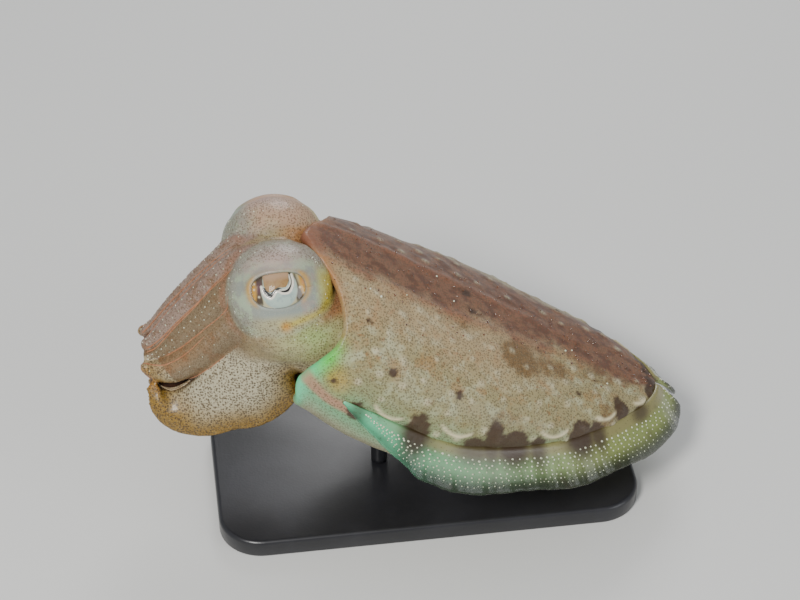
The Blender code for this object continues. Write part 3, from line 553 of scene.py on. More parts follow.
# %% [markdown]
# The white spots are real little lenses of mesh, largest next to the root and smaller towards the clear rim,
# in wandering rows. They are set on the fin's upper face with a seeded draw and joined into one object.

# %% The fins and their rows of spots
FIN_STATIONS = 420
FIN_ACROSS = 22
FIN_FRONT_THINNING = 0.05
SPOT_ROWS = 7
# The first row's place out on the fin and its start along it, each with the step to the next row.
SPOT_OUT, SPOT_OUT_STEP = 0.24, 0.10
SPOT_START, SPOT_START_STEP = 0.035, 0.009
SPOT_RADIUS, SPOT_RADIUS_STEP = 0.23, 0.021
SPOT_SPACING, SPOT_SPACING_STEP = 1.25, 0.05


def lens(place, facing, radius, height, sides=8):
    """A flat dome of mesh: its points and faces."""
    facing = Vector(facing).normalized()
    aside = facing.orthogonal().normalized()
    across = facing.cross(aside)
    points = []
    for ring_radius, lift in ((1.0, -0.4), (0.72, 0.65)):
        for k in range(sides):
            turn = 2 * math.pi * k / sides
            offset = (aside * math.cos(turn) + across * math.sin(turn)) * radius * ring_radius
            points.append(Vector(place) + offset + facing * height * lift)
    points.append(Vector(place) + facing * height)
    points.append(Vector(place) - facing * height)
    faces = [(k, (k + 1) % sides, sides + (k + 1) % sides, sides + k) for k in range(sides)]
    faces += [(sides + k, sides + (k + 1) % sides, 2 * sides) for k in range(sides)]
    faces += [((k + 1) % sides, k, 2 * sides + 1) for k in range(sides)]
    return points, faces


class Heap:
    """Many small closed forms gathered into one mesh."""

    def __init__(self):
        self.points, self.faces = [], []

    def add(self, points, faces):
        start = len(self.points)
        self.points += [tuple(p) for p in points]
        self.faces += [tuple(start + k for k in face) for face in faces]

    def object(self, name):
        return mesh_object(name, self.points, self.faces)


FIN_ROOT_MARKS = [(s, angle + 4.0, 1.25 * half_long, 1.5 * half_high, strength)
                  for s, angle, half_long, half_high, strength in DARK_MARKS if angle > 77.0]
stations = [fin_station(k / FIN_STATIONS) for k in range(FIN_STATIONS + 1)]
fin_outs = np.concatenate([[-FIN_SUNK / FIN_WIDTH], np.linspace(0, 1, FIN_ACROSS)])


def fin_half(out):
    return 0.5 * (FIN_ROOT + (FIN_EDGE - FIN_ROOT) * np.clip(out * 1.25, 0, 1) ** 0.8)


def make_fin(name, mirror):
    rings, outs, shares = [], [], []
    thinning = lambda k: min(1.0, k / (FIN_FRONT_THINNING * FIN_STATIONS)) ** 0.6 * 0.8 + 0.2
    for k, station in enumerate(stations):
        middles = np.array([fin_middle(station, out) for out in fin_outs])
        ripple = 0.03 * math.sin(0.9 * k) + 0.09 * math.sin(0.31 * k + 1.0)
        middles += np.outer(ripple * np.clip(fin_outs, 0, 1) ** 3, BODY_UP)
        half = np.outer(fin_half(fin_outs) * thinning(k), BODY_UP)
        rings.append(np.concatenate([middles + half, (middles - half)[::-1]]))
        outs.append(np.concatenate([fin_outs, fin_outs[::-1]]))
        shares.append(np.full(2 * len(fin_outs), k / FIN_STATIONS))
    rings = np.array(rings) * np.array([1.0, mirror, 1.0])
    made = tube(name, rings)
    keep_value(made, "out", np.append(np.concatenate(outs), [0.5, 0.5]))
    keep_value(made, "share", np.append(np.concatenate(shares), [0.0, 1.0]))
    keep_value(made, "dark", painted(places(made)[0], FIN_ROOT_MARKS))
    return made


fin_left, fin_right = make_fin("fin_skin_left", 1.0), make_fin("fin_skin_right", -1.0)
spots = Heap()
for mirror in (1.0, -1.0):
    rng = random.Random(21 + int(mirror))
    for row in range(SPOT_ROWS):
        share = SPOT_START + SPOT_START_STEP * row
        while share < 0.995:
            width = stations[min(int(share * FIN_STATIONS), FIN_STATIONS)][2]
            radius = (SPOT_RADIUS - SPOT_RADIUS_STEP * row) * rng.uniform(0.75, 1.25)
            radius *= 0.7 + 0.3 * min(1.0, width / FIN_WIDTH)
            out = SPOT_OUT + SPOT_OUT_STEP * row + rng.uniform(-0.03, 0.03)
            station = fin_station(share)
            place = fin_middle(station, out) + BODY_UP * fin_half(out)
            spots.add(*lens(place * np.array([1.0, mirror, 1.0]), BODY_UP, radius, 0.10 + 0.2 * radius))
            s_step = (SPOT_SPACING - SPOT_SPACING_STEP * row) * rng.uniform(0.75, 1.3)
            s_step = s_step * max(width, 3.0) / FIN_WIDTH
            speed = (MANTLE_LENGTH - FIN_START) * FIN_CROWDING * max(1 - share, 0.02) ** (FIN_CROWDING - 1)
            share += s_step / max(speed, 26.0)
fin_spots = spots.object("fin_spots")
print("fin spots:", len(spots.points) // 18)

# %% [markdown]
# ## The head and the arms
#
# In life the head, the eye swellings, the cheeks, the arms and the funnel are one piece of flesh with soft
# grooves between its parts. So each part is first made as its own closed form from its own sizes, then all of
# them are fused by a voxel remesh and smoothed, which rounds the grooves as skin would.

# %% The head's sizes
NECK_DEPTHS = (6.4, 3.0, -1.2)
NECK_CLEARANCE = 0.8
NECK_SIDE_CLEARANCE = 0.3
NECK_BELLY = 5.2
HEAD_FULLNESS = 0.9
# X and Z of the middle, pitch of the head's own axis, half width, height above and depth below.
HEAD_STATIONS = (
    (-23.8, 47.6, 4.0, 12.0, 12.0, 9.8),
    (-27.6, 48.2, -8.0, 11.0, 11.0, 10.0),
    (-31.0, 47.6, -18.0, 8.8, 8.4, 8.6),
    (-33.8, 46.4, -24.0, 6.0, 5.4, 5.8),
)
MOUTH_TIP = (-37.2, 0.0, 44.8)
EYE_CENTRE = Vector((-24.4, -7.1, 53.4))
EYE_LIFT = math.radians(36.0)
EYE_FORWARD = math.radians(6.0)
BULGE_RADIUS = 9.1
BULGE_REACH = 8.3
LID_MIDDLE = 0.65
LID_HALF_WIDTH = 4.7
LID_HALF_HEIGHT = 3.05
CHEEK_MIDDLE = np.array([-26.3, -8.8, 46.2])
CHEEK_SIZE = np.array([5.8, 5.2, 5.4])
# The soft pouch of skin below the eye, in the eye's own frame.
POUCH_MIDDLE = (-1.2, -7.0, 1.2)
POUCH_SIZE = (7.4, 4.8, 4.6)
FUNNEL_STATIONS = ((-15.8, 38.4, 6.6, 2.5), (-19.6, 36.4, 6.2, 2.6), (-23.4, 34.8, 4.8, 2.5),
                   (-26.6, 34.0, 3.5, 2.3), (-29.2, 33.9, 2.7, 2.1))
# Points along the middle of each arm of the left side, by pair, with its half thickness and half width.
ARM_ROUTES = {
    1: ((-27.6, -2.2, 57.4, 1.7, 2.0), (-31.0, -2.2, 57.2, 1.6, 2.0), (-33.9, -2.2, 55.0, 1.55, 2.0),
        (-36.7, -2.2, 52.3, 1.5, 1.95), (-39.5, -2.2, 49.4, 1.45, 1.85), (-42.3, -2.1, 46.4, 1.35, 1.7),
        (-45.0, -2.0, 43.2, 1.15, 1.45), (-47.0, -1.8, 40.9, 0.85, 1.05), (-48.4, -1.6, 39.6, 0.5, 0.55)),
    2: ((-28.4, -4.8, 54.2, 2.3, 2.1), (-31.0, -4.8, 54.4, 2.4, 2.2), (-33.9, -4.7, 51.8, 2.4, 2.25),
        (-36.1, -4.6, 49.1, 2.3, 2.2), (-38.5, -4.5, 46.5, 2.1, 2.1), (-41.1, -4.3, 43.9, 1.8, 1.9),
        (-43.9, -4.0, 41.1, 1.4, 1.55), (-46.1, -3.7, 39.4, 0.95, 1.1), (-48.3, -3.4, 38.5, 0.5, 0.55)),
    3: ((-27.5, -6.6, 48.6, 2.5, 2.6), (-30.9, -7.2, 48.3, 2.6, 2.9), (-33.9, -7.2, 46.0, 2.6, 2.9),
        (-36.9, -7.1, 43.3, 2.6, 2.8), (-39.7, -6.9, 40.7, 2.6, 2.65), (-42.4, -6.6, 38.7, 2.4, 2.6),
        (-44.9, -6.1, 37.5, 2.1, 2.3), (-47.3, -5.4, 37.3, 1.5, 1.65), (-48.9, -4.8, 37.8, 0.7, 0.75)),
    4: ((-24.4, -6.4, 44.2, 3.4, 3.0), (-27.0, -7.6, 43.2, 3.7, 3.1), (-30.0, -8.2, 41.0, 3.7, 3.0),
        (-33.6, -8.3, 38.4, 3.4, 2.9), (-37.4, -8.1, 35.6, 2.8, 2.6), (-41.0, -7.8, 32.9, 2.3, 2.2),
        (-44.2, -7.2, 31.8, 1.85, 1.8), (-46.6, -6.4, 32.7, 1.3, 1.2), (-48.0, -5.7, 34.8, 0.7, 0.7)),
}
# The free edge of the broad keel along the lowest arm, and the middle of the bunch that the suckers face.
KEEL_EDGE = ((-21.4, -8.6, 41.0), (-21.6, -10.4, 36.6), (-23.0, -11.4, 32.2), (-27.4, -12.2, 28.6),
             (-33.0, -12.3, 26.6), (-38.6, -11.9, 25.9), (-43.4, -11.0, 27.4), (-46.9, -9.6, 30.4),
             (-48.6, -7.4, 34.2))
BUNCH_AXIS = ((-26.0, 0.0, 49.4), (-29.0, 0.0, 49.0), (-32.0, 0.0, 47.4), (-35.2, 0.0, 45.0),
              (-38.4, 0.0, 42.4), (-41.4, 0.0, 40.0), (-44.0, 0.0, 38.2), (-46.4, 0.0, 37.2),
              (-48.6, 0.0, 36.8))
KEEL_EDGE_HALF = 0.35
KEEL_BULGE = 1.5
KEEL_TAPER = 1.3
ORAL_FLATNESS = 0.7
TIP_HALF = 1.05


# %% The frames of an eye and of an arm
def eye_frame(side_sign):
    """Forwards, up and outwards at an eye; side_sign is 1 for the left and -1 for the right."""
    level = math.cos(EYE_LIFT)
    out = Vector((-math.sin(EYE_FORWARD) * level, -math.cos(EYE_FORWARD) * level, math.sin(EYE_LIFT)))
    ahead = Vector((-1.0, 0.0, -0.06))
    ahead = (ahead - out * ahead.dot(out)).normalized()
    upward = ahead.cross(out)
    if upward.z < 0:
        upward = -upward
    matrix = Matrix((ahead, upward, out)).transposed().to_4x4()
    matrix.translation = EYE_CENTRE
    return matrix if side_sign > 0 else Matrix.Scale(-1, 4, Vector((0, 1, 0))) @ matrix


def arm_place(pair, share):
    """An arm's middle, half thickness and half width, and its unit directions along, inwards and aside."""
    table = numbered(ARM_ROUTES[pair])
    x, y, z, thick, wide = curve_through(table, share)
    middle = np.array([x, y, z])
    before, after = curve_through(table, max(share - 0.02, 0.0)), curve_through(table, min(share + 0.02, 1.0))
    ahead = after[:3] - before[:3]
    ahead /= np.linalg.norm(ahead)
    inwards = curve_through(numbered(BUNCH_AXIS), share) - middle
    inwards -= ahead * (inwards @ ahead)
    inwards /= np.linalg.norm(inwards)
    return middle, thick, wide, ahead, inwards, np.cross(ahead, inwards)


# %% The forms that the head is fused from
HEAD_COLUMNS = 96


def ball(name, matrix, radii, columns=72, rows=40):
    """An ellipsoid with its poles on the matrix's third axis."""
    rings = []
    for k in range(1, rows):
        tilt = math.pi * k / rows
        ring = [(radii[0] * math.sin(tilt) * math.cos(2 * math.pi * j / columns),
                 radii[1] * math.sin(tilt) * math.sin(2 * math.pi * j / columns),
                 radii[2] * math.cos(tilt)) for j in range(columns)]
        rings.append([matrix @ Vector(p) for p in ring])
    return tube(name, rings, matrix @ Vector((0, 0, radii[2])), matrix @ Vector((0, 0, -radii[2])))


def head_form():
    key_rings = []
    for depth in NECK_DEPTHS:
        base = recess_inset(depth) + NECK_CLEARANCE
        inset = lambda angle: base + NECK_SIDE_CLEARANCE * np.sin(np.radians(angle)) ** 2
        key_rings.append(mantle_ring(depth, inset, HEAD_COLUMNS, NECK_BELLY)[0])
    turn = 2 * math.pi * np.arange(HEAD_COLUMNS) / HEAD_COLUMNS
    for x, z, pitch, half_width, height, depth in HEAD_STATIONS:
        up = np.array([math.sin(math.radians(pitch)), 0.0, math.cos(math.radians(pitch))])
        tall = np.where(np.cos(turn) > 0, height, depth) * bend(np.cos(turn), HEAD_FULLNESS)
        ring = np.outer(tall, up) + np.array([x, 0.0, z])
        ring[:, 1] = -half_width * bend(np.sin(turn), HEAD_FULLNESS)
        key_rings.append(ring)
    table = numbered(np.array(key_rings).reshape(len(key_rings), -1))
    rings = curve_through(table, np.linspace(0, 1, 50)).reshape(50, HEAD_COLUMNS, 3)
    return tube("head form", rings, None, MOUTH_TIP)


def arm_form(pair, mirror):
    rings = []
    for share in np.linspace(0, 1, 72):
        middle, thick, wide, ahead, inwards, aside = arm_place(pair, share)
        if pair < 4:
            turn = 2 * math.pi * np.arange(36) / 36
            thick, wide = max(thick, TIP_HALF), max(wide, TIP_HALF)
            thickness = thick * np.where(np.cos(turn) > 0, ORAL_FLATNESS, 1.0) * 1.05
            ring = middle + np.outer(thickness * np.cos(turn), inwards)
            rings.append(ring + np.outer(1.05 * wide * np.sin(turn), aside))
            continue
        edge = curve_through(numbered(KEEL_EDGE), share)
        span = edge - middle
        span -= ahead * (span @ ahead)
        reach = np.linalg.norm(span)
        out = span / reach
        face = np.cross(ahead, out)
        face = -face if face @ inwards > 0 else face
        x = -thick + (reach + thick) * (0.5 - 0.5 * np.cos(math.pi * np.arange(1, 20) / 20))
        core = thick * np.sqrt(np.maximum(0, 1 - (x / thick) ** 2))
        keel = KEEL_EDGE_HALF + (thick - KEEL_EDGE_HALF) * np.clip(1 - x / reach, 0, 1) ** KEEL_TAPER
        half = np.where(x < 0, core, keel)
        camber = KEEL_BULGE * np.sin(math.pi * np.clip(x / reach, 0, 1))
        centre = middle + np.outer(x, out) + np.outer(camber, face)
        outer_side = centre + np.outer(half, face)
        inner_side = centre - np.outer(0.9 * half, face)
        inner_edge, keel_edge = middle - out * thick, middle + out * reach
        rings.append(np.vstack([[inner_edge], outer_side, [keel_edge], inner_side[::-1]]))
    rings = np.array(rings) * np.array([1.0, mirror, 1.0])
    middle, thick, _, ahead, _, _ = arm_place(pair, 1.0)
    return tube("arm form", rings, None, (middle + ahead * thick) * np.array([1.0, mirror, 1.0]))


# %% [markdown]
# Webs of skin join neighbouring arms for the first part of their length. Each is a slim tube along the line
# midway between two arms, which the remesh melts into both. After the remesh the skin is eased where it would
# crease too sharply: below the eye, above the keel of the lowest arm and a little between the arms.

# %% Webs, funnel and the fused skin
WEBS = ((1, 1, 0.10, 0.90, 1.25), (1, 2, 0.10, 0.98, 1.45), (2, 3, 0.05, 0.84, 1.75), (3, 4, 0.0, 0.34, 2.1))
VOXEL = 0.27


def web_form(first, second, start, stop, radius, mirror):
    rings = []
    for share in np.linspace(start, stop, 30):
        a, _, _, ahead, inwards, _ = arm_place(first, share)
        b = arm_place(second, share)[0] if second != first else a * np.array([1.0, -1.0, 1.0])
        fade = math.sqrt(max(1.0 - ((share - start) / (stop - start)) ** 2, 0.02))
        middle = 0.5 * (a + b) + inwards * 0.25
        turn = 2 * math.pi * np.arange(16) / 16
        aside = np.cross(ahead, inwards)
        ring = middle + radius * fade * (np.outer(np.cos(turn), inwards) + np.outer(np.sin(turn), aside))
        rings.append(ring * np.array([1.0, mirror, 1.0]))
    return tube("web form", rings)


def funnel_form():
    def ring(share, scale):
        x, z, half_width, half_height = curve_through(numbered(FUNNEL_STATIONS), share)
        turn = 2 * math.pi * np.arange(40) / 40
        return np.column_stack([np.full(40, x), half_width * scale * np.sin(turn),
                                z + half_height * scale * np.cos(turn)])

    rings = [ring(share, 1.0) for share in np.linspace(0, 1, 30)]
    rings += [ring(share, scale) for share, scale in ((1.0, 0.86), (1.0, 0.74), (0.96, 0.66), (0.85, 0.6))]
    x, z, _, _ = curve_through(numbered(FUNNEL_STATIONS), 0.6)
    return tube("funnel form", rings, None, (x, 0.0, z))


forms = [head_form(), funnel_form()]
for sign in (1, -1):
    forms.append(ball("bulge", eye_frame(sign), (BULGE_RADIUS, BULGE_RADIUS, BULGE_REACH)))
    cheek = Matrix.Translation(Vector(CHEEK_MIDDLE * np.array([1, sign, 1])))
    forms.append(ball("cheek", cheek, tuple(CHEEK_SIZE)))
    pouch = eye_frame(sign) @ Matrix.Translation(Vector(POUCH_MIDDLE))
    forms.append(ball("pouch", pouch, POUCH_SIZE))
    forms += [arm_form(pair, float(sign)) for pair in ARM_ROUTES]
    forms += [web_form(*web, float(sign)) for web in WEBS[1:]]
forms.append(web_form(*WEBS[0], 1.0))
head = join("head_skin", forms)


def bake_modifiers(made):
    graph = bpy.context.evaluated_depsgraph_get()
    mesh = bpy.data.meshes.new_from_object(made.evaluated_get(graph))
    made.modifiers.clear()
    made.data = mesh
    mesh.shade_smooth()


fuse = head.modifiers.new("fuse", "REMESH")
fuse.mode = "VOXEL"
fuse.voxel_size = VOXEL
ease = head.modifiers.new("ease", "SMOOTH")
ease.factor = 0.5
ease.iterations = 9
bake_modifiers(head)


def eye_coordinates(co):
    """Left-side coordinates of points, and the same points in the frame of the eye on their own side."""
    sided = co.copy()
    sided[:, 1] = -np.abs(sided[:, 1])
    inverse = np.array(eye_frame(1).inverted())
    local = sided @ inverse[:3, :3].T + inverse[:3, 3]
    return sided, local[:, 0], local[:, 1], local[:, 2]


def soften(made, weight, times):
    """Draws each point towards the middle of its neighbours, by its own weight."""
    co, _ = places(made)
    ends = np.empty(2 * len(made.data.edges), int)
    made.data.edges.foreach_get("vertices", ends)
    pairs = ends.reshape(-1, 2)
    pairs = pairs[(weight[pairs] > 0.01).any(axis=1)]
    used, local = np.unique(pairs, return_inverse=True)
    first, second = local.reshape(-1, 2).T
    spots = co[used]
    pull = np.where(weight[used] > 0.01, 0.6 * weight[used], 0.0)[:, None]
    count = np.bincount(local.ravel(), minlength=len(used))[:, None]
    for _ in range(times):
        total = np.column_stack([np.bincount(first, spots[second, axis], len(used))
                                 + np.bincount(second, spots[first, axis], len(used)) for axis in range(3)])
        spots = spots + pull * (total / count - spots)
    co[used] = spots
    set_places(made, co)


co, _ = places(head)
sided, u, v, w = eye_coordinates(co)
below_eye = bump(np.hypot(u / 8.0, (v + 8.0) / 4.0), 1.0) * between(-6.0, -2.0, w)
above_keel = bump(np.hypot((u + 1.0) / 8.0, (v + 11.8) / 3.4), 1.0) * between(-10.0, -6.0, w)
between_arms = between(-29.0, -32.0, co[:, 0]) * between(-46.5, -43.0, co[:, 0])
between_arms *= between(36.5, 39.5, co[:, 2])
soften(head, np.clip(1.3 * np.maximum(below_eye * between(4.5, 1.5, u), above_keel), 0, 1), 420)
soften(head, 0.5 * between_arms, 40)
print("head skin faces:", len(head.data.polygons))

# %% [markdown]
# The lids need a finer mesh than the rest of the head, so the faces round each eye are split twice. Then the
# skin inside the lids sinks below the eyeball, the rim stands up a little and a shallow groove runs round it.
# All of it is measured in the eye's own frame: `u` forwards, `v` up and `w` outwards.

# %% Open the lids
def eye_height(u, v):
    """How far out the eyeball's surface is: just under the swelling all over, so the lids lie close on it."""
    squared = u * u + v * v
    return BULGE_REACH * np.sqrt(np.maximum(1 - squared / BULGE_RADIUS**2, 0.05)) - 0.6 - 0.010 * squared


def lid_ratio(u, v):
    """1 on the edge of the lids, less inside; the upper lid is flatter than the lower one."""
    power = np.where(v > LID_MIDDLE, 2.7, 2.1)
    across, upward = np.abs(u / LID_HALF_WIDTH), np.abs((v - LID_MIDDLE) / LID_HALF_HEIGHT)
    return (across**power + upward**power) ** (1 / power)


def refine(made, chosen_vertices):
    """Splits the edges whose two ends are both chosen."""
    work = bmesh.new()
    work.from_mesh(made.data)
    edges = [edge for edge in work.edges if all(chosen_vertices[v.index] for v in edge.verts)]
    bmesh.ops.subdivide_edges(work, edges=edges, cuts=1, use_grid_fill=True, smooth=0.0)
    work.to_mesh(made.data)
    work.free()


for reach in (1.5, 1.25):
    co, _ = places(head)
    _, u, v, w = eye_coordinates(co)
    refine(head, (lid_ratio(u, v) < reach) & (w > 2.0))
co, normal = places(head)
sided, u, v, w = eye_coordinates(co)
lid = lid_ratio(u, v)
front = w > 2.0
eyeball_height = eye_height(u, v)
sunk = between(1.0, 0.9, lid) * front
lift = np.where(front, 0.20 * bump(lid - 1.12, 0.13) - 0.10 * bump(lid - 1.45, 0.15), 0.0)
lift *= np.where(v > LID_MIDDLE, 1.3, 0.6)
hug = between(1.6, 0.9, lid) * front
lift += 0.6 * hug * (eyeball_height + np.where(v > LID_MIDDLE, 0.6, 0.3) - w)
outward = np.array(eye_frame(1))[:3, 2]
out_by_side = np.tile(outward, (len(co), 1))
out_by_side[:, 1] *= np.where(co[:, 1] > 0, -1.0, 1.0)
drop = np.where(sunk > 0, sunk * (eyeball_height - 0.5 - w), 0.0)
set_places(head, co + out_by_side * (drop + lift * (1 - sunk))[:, None])
print("head vertices:", len(co), "in the lids:", int((sunk > 0.5).sum()))

# %% [markdown]
# Next every vertex learns where it is: on which arm and how far along it, how far out on an eye swelling,
# or on the neck, the cheek or the funnel. Soft relief follows from that: fine ripples on the arms, small
# warts on the head, and none on the rims of the eyes.

# %% Where each point of the head is
HEAD_WART_TRIES = 500
HEAD_WART_GAP = 3.2
ARM_RIPPLES = 34


def arm_map(sided):
    """Each point's nearest arm, the share along it, and how far inwards and aside it is, in half sizes."""
    best = np.full(len(sided), 1e9)
    pair_of, share_of = np.zeros(len(sided), int), np.zeros(len(sided))
    inward_of, aside_of = np.zeros(len(sided)), np.zeros(len(sided))
    shares = np.linspace(0, 1, 90)
    for pair in ARM_ROUTES:
        spots = [arm_place(pair, share) for share in shares]
        middles = np.array([spot[0] for spot in spots])
        gap, number = nearest(sided, middles)
        size = np.array([0.5 * (spot[1] + spot[2]) for spot in spots])[number]
        closer = gap / size < best
        best = np.where(closer, gap / size, best)
        offset = sided - middles[number]
        inwards = np.array([spot[4] for spot in spots])[number]
        aside = np.array([spot[5] for spot in spots])[number]
        thick = np.array([spot[1] for spot in spots])[number]
        wide = np.array([spot[2] for spot in spots])[number]
        pair_of = np.where(closer, pair, pair_of)
        share_of = np.where(closer, shares[number], share_of)
        inward_of = np.where(closer, (offset * inwards).sum(axis=1) / thick, inward_of)
        aside_of = np.where(closer, (offset * aside).sum(axis=1) / wide, aside_of)
    return pair_of, share_of, inward_of, aside_of, best


co, normal = places(head)
sided, u, v, w = eye_coordinates(co)
pair_of, share_of, inward_of, aside_of, arm_gap = arm_map(sided)
keel_points = curve_through(numbered(KEEL_EDGE), np.linspace(0, 1, 120))
keel_gap, _ = nearest(sided, keel_points)
on_bulge = between(9.6, 8.6, np.sqrt(u**2 + v**2 + (w / 0.93) ** 2)) * between(-1.0, 1.2, w)
on_arms = between(-29.5, -32.5, sided[:, 0]) * (1 - on_bulge)
on_arms = np.maximum(on_arms, between(1.5, 1.15, arm_gap) * (1 - on_bulge) * (pair_of < 4))
on_keel = between(44.5, 41.5, sided[:, 2] - 0.1 * np.abs(sided[:, 0] + 30))
on_keel *= between(-15.0, -19.0, sided[:, 0])
on_keel *= np.where((pair_of == 4) | (keel_gap < 6.0), 1.0, 0.0)
oral = between(0.35, 0.75, inward_of) * between(0.2, 0.35, share_of) * (arm_gap < 1.5)

still = np.clip(between(1.9, 1.4, lid) * front, 0, 1)
soft = rough(co, 5.0, 3.0)
fine = rough(co, 1.1, 11.0, 2)
relief = (0.10 * soft + 0.05 * fine) * (1 - still) * (1 - 0.6 * on_bulge)
rng = random.Random(4)
warts = []
head_points = co[(on_arms < 0.5) & (on_bulge < 0.4) & (normal[:, 2] > -0.2)]
for _ in range(HEAD_WART_TRIES):
    spot = head_points[rng.randrange(len(head_points))]
    if all(np.linalg.norm(spot - other) > HEAD_WART_GAP for other in warts):
        warts.append(spot)
wart = bump(nearest(co, warts)[0], 0.75)
relief += 0.22 * wart * (1 - still) * (1 - on_bulge)
ripple = np.sin(2 * math.pi * ARM_RIPPLES * share_of + 2.0 * soft)
ripple *= on_arms * (pair_of < 4) * (arm_gap > 0.75)
relief += 0.035 * ripple
set_places(head, co + normal * relief[:, None])
print("arms' share of the head's points:", round(float(on_arms.mean()), 2), "warts:", len(warts))

# %% [markdown]
# The head's colours are masks too. The eye swellings are grey-blue inside an orange crease, with a yellow
# band that curves under each eye. The cheeks are yellow-green, the upper arms pinkish brown, and the broad
# keels of the lowest arms are bluish white with a golden rim.

# %% The head's masks
EYE_BAND = ((-8.3, 1.6), (-8.4, -0.6), (-7.6, -2.6), (-6.2, -4.0), (-3.6, -4.8), (-1.6, -5.3), (-0.2, -5.6))
slit_shares = np.linspace(0.5, 1.0, 40)
slit_line = np.array([0.5 * (arm_place(3, t)[0] + arm_place(4, t)[0]) for t in slit_shares])
slit_gap, _ = nearest(sided, slit_line)
bulge_gap = np.sqrt((u / BULGE_RADIUS) ** 2 + (v / BULGE_RADIUS) ** 2 + (w / BULGE_REACH) ** 2)
facing_eye = between(-1.0, 1.0, w)
band = bump(path_distance(u, v, EYE_BAND), 0.62) * facing_eye
under_bulge = between(1.02, 1.07, bulge_gap) * between(1.22, 1.10, bulge_gap)
head_masks = {
    "bulge": on_bulge,
    "crease": under_bulge * between(-3.0, 0.0, w) * between(-9.0, -3.0, v),
    "far": on_bulge * (co[:, 1] > 0) * between(5.0, 1.5, u) * between(-5.0, -1.0, v),
    "far_front": on_bulge * (co[:, 1] > 0) * bump(np.hypot((u - 6.6) / 2.6, (v - 3.0) / 4.0), 1.0),
    "yellow_rim": on_bulge * between(-5.8, -7.8, u) * between(-5.5, -2.5, v) * between(5.0, 2.0, v),
    "under_eye": on_bulge * facing_eye * between(-3.0, -4.8, v) * between(7.0, 3.5, np.abs(u)),
    "lid": bump(np.hypot(u / 4.8, (v - 6.0) / 2.5), 0.9) * facing_eye,
    "gold": bump(lid - 1.07, 0.10) * between(3.3, 4.3, np.abs(u)) * front * (0.75 + 0.25 * soft),
    "shade": bump(lid - 0.98, 0.05) * front,
    "yellow": band * (0.6 + 0.4 * between(-9.0, -3.0, -np.abs(u + 6.0))),
    "orange": bump(np.hypot(u + 0.4, v + 5.6), 0.9) * facing_eye,
    "green": bump(np.hypot((u + 4.6) / 3.8, (v + 7.6 - 0.6 * soft) / 2.6), 1.0) * between(-8.0, -5.0, w),
    "cheek": (between(-4.2, -6.6, v) * between(-14.5, -11.0, v)
              * between(4.5, 0.0, u) * between(-7.0, -4.0, w)),
    # The neck band's pinkish brown, painted lighter as painted light against the shade of its crevice.
    "neck_painted_light": between(-25.5, -20.5, sided[:, 0]) * between(44.0, 52.0, sided[:, 2]) * (1 - on_bulge),
    "arms": on_arms,
    "first": on_arms * (pair_of == 1),
    "keel": on_keel,
    "rim": on_keel * between(8.8, 1.6, keel_gap + 1.2 * soft),
    # Painted shade along the slit between the third and fourth arms, dark where the bunch is hollow.
    "slit_shade": between(1.5, 0.9, slit_gap) * (share_of < 0.95),
    "third_rim": between(2.3, 1.7, slit_gap) * (pair_of == 3) * between(0.55, 0.75, share_of) * (1 - oral),
    "web": on_arms * bump(share_of - 0.62, 0.35) * (pair_of == 3) * between(0.2, 0.9, np.abs(aside_of)),
    "oral": oral,
    "still": still,
}
for name, mask in head_masks.items():
    keep_value(head, name, np.clip(mask, 0, 1))
covered = {name: round(100 * float(np.mean(mask))) for name, mask in head_masks.items()}
print("head masks, in percent of the points:", covered)

# %% [markdown]
# ## The eyes
#
# A cuttlefish sees through a W-shaped pupil. A brown flap hangs over it from above, its lower edge is lined
# with white, and a pale blue crescent of iris lies below. Each eyeball is a fine cap on a sphere. The flap
# stands proud of it and the slit is sunk into it, so the pupil keeps its shape from any side.

# %% Eyeballs with flap and slit
WHITE_LINE = ((2.84, 1.62), (2.63, 0.46), (1.79, -0.48), (1.09, -0.41), (0.25, 0.53), (-0.59, 0.10),
              (-1.71, 0.10), (-2.41, 1.04), (-2.62, 2.05), (-2.48, 3.07))
BLACK_LINE = ((2.42, 1.10), (1.65, 0.06), (1.16, 0.06), (0.11, 0.86), (-0.87, 0.36), (-1.85, 0.62),
              (-2.30, 1.47), (-2.36, 2.49), (-2.20, 3.2))
INNER_LINE = ((-1.99, 3.07), (-2.12, 1.91), (-1.76, 1.10), (-1.15, 0.68), (-0.17, 0.72))
FLAP_EDGE = ((-2.0, 3.2), (-1.92, 2.1), (-1.65, 1.45), (-1.29, 1.10), (-0.7, 1.06), (-0.03, 1.20),
             (0.5, 0.98), (1.1, 0.60), (1.51, 0.50), (2.0, 0.85), (2.28, 1.6))
EYE_SPECKS = ((4.1, 1.26), (3.4, -0.05), (-3.6, 0.75), (3.95, 2.2), (-4.2, -0.3))
EYE_EDGE = 6.3
EYE_RINGS, EYE_COLUMNS = 84, 200


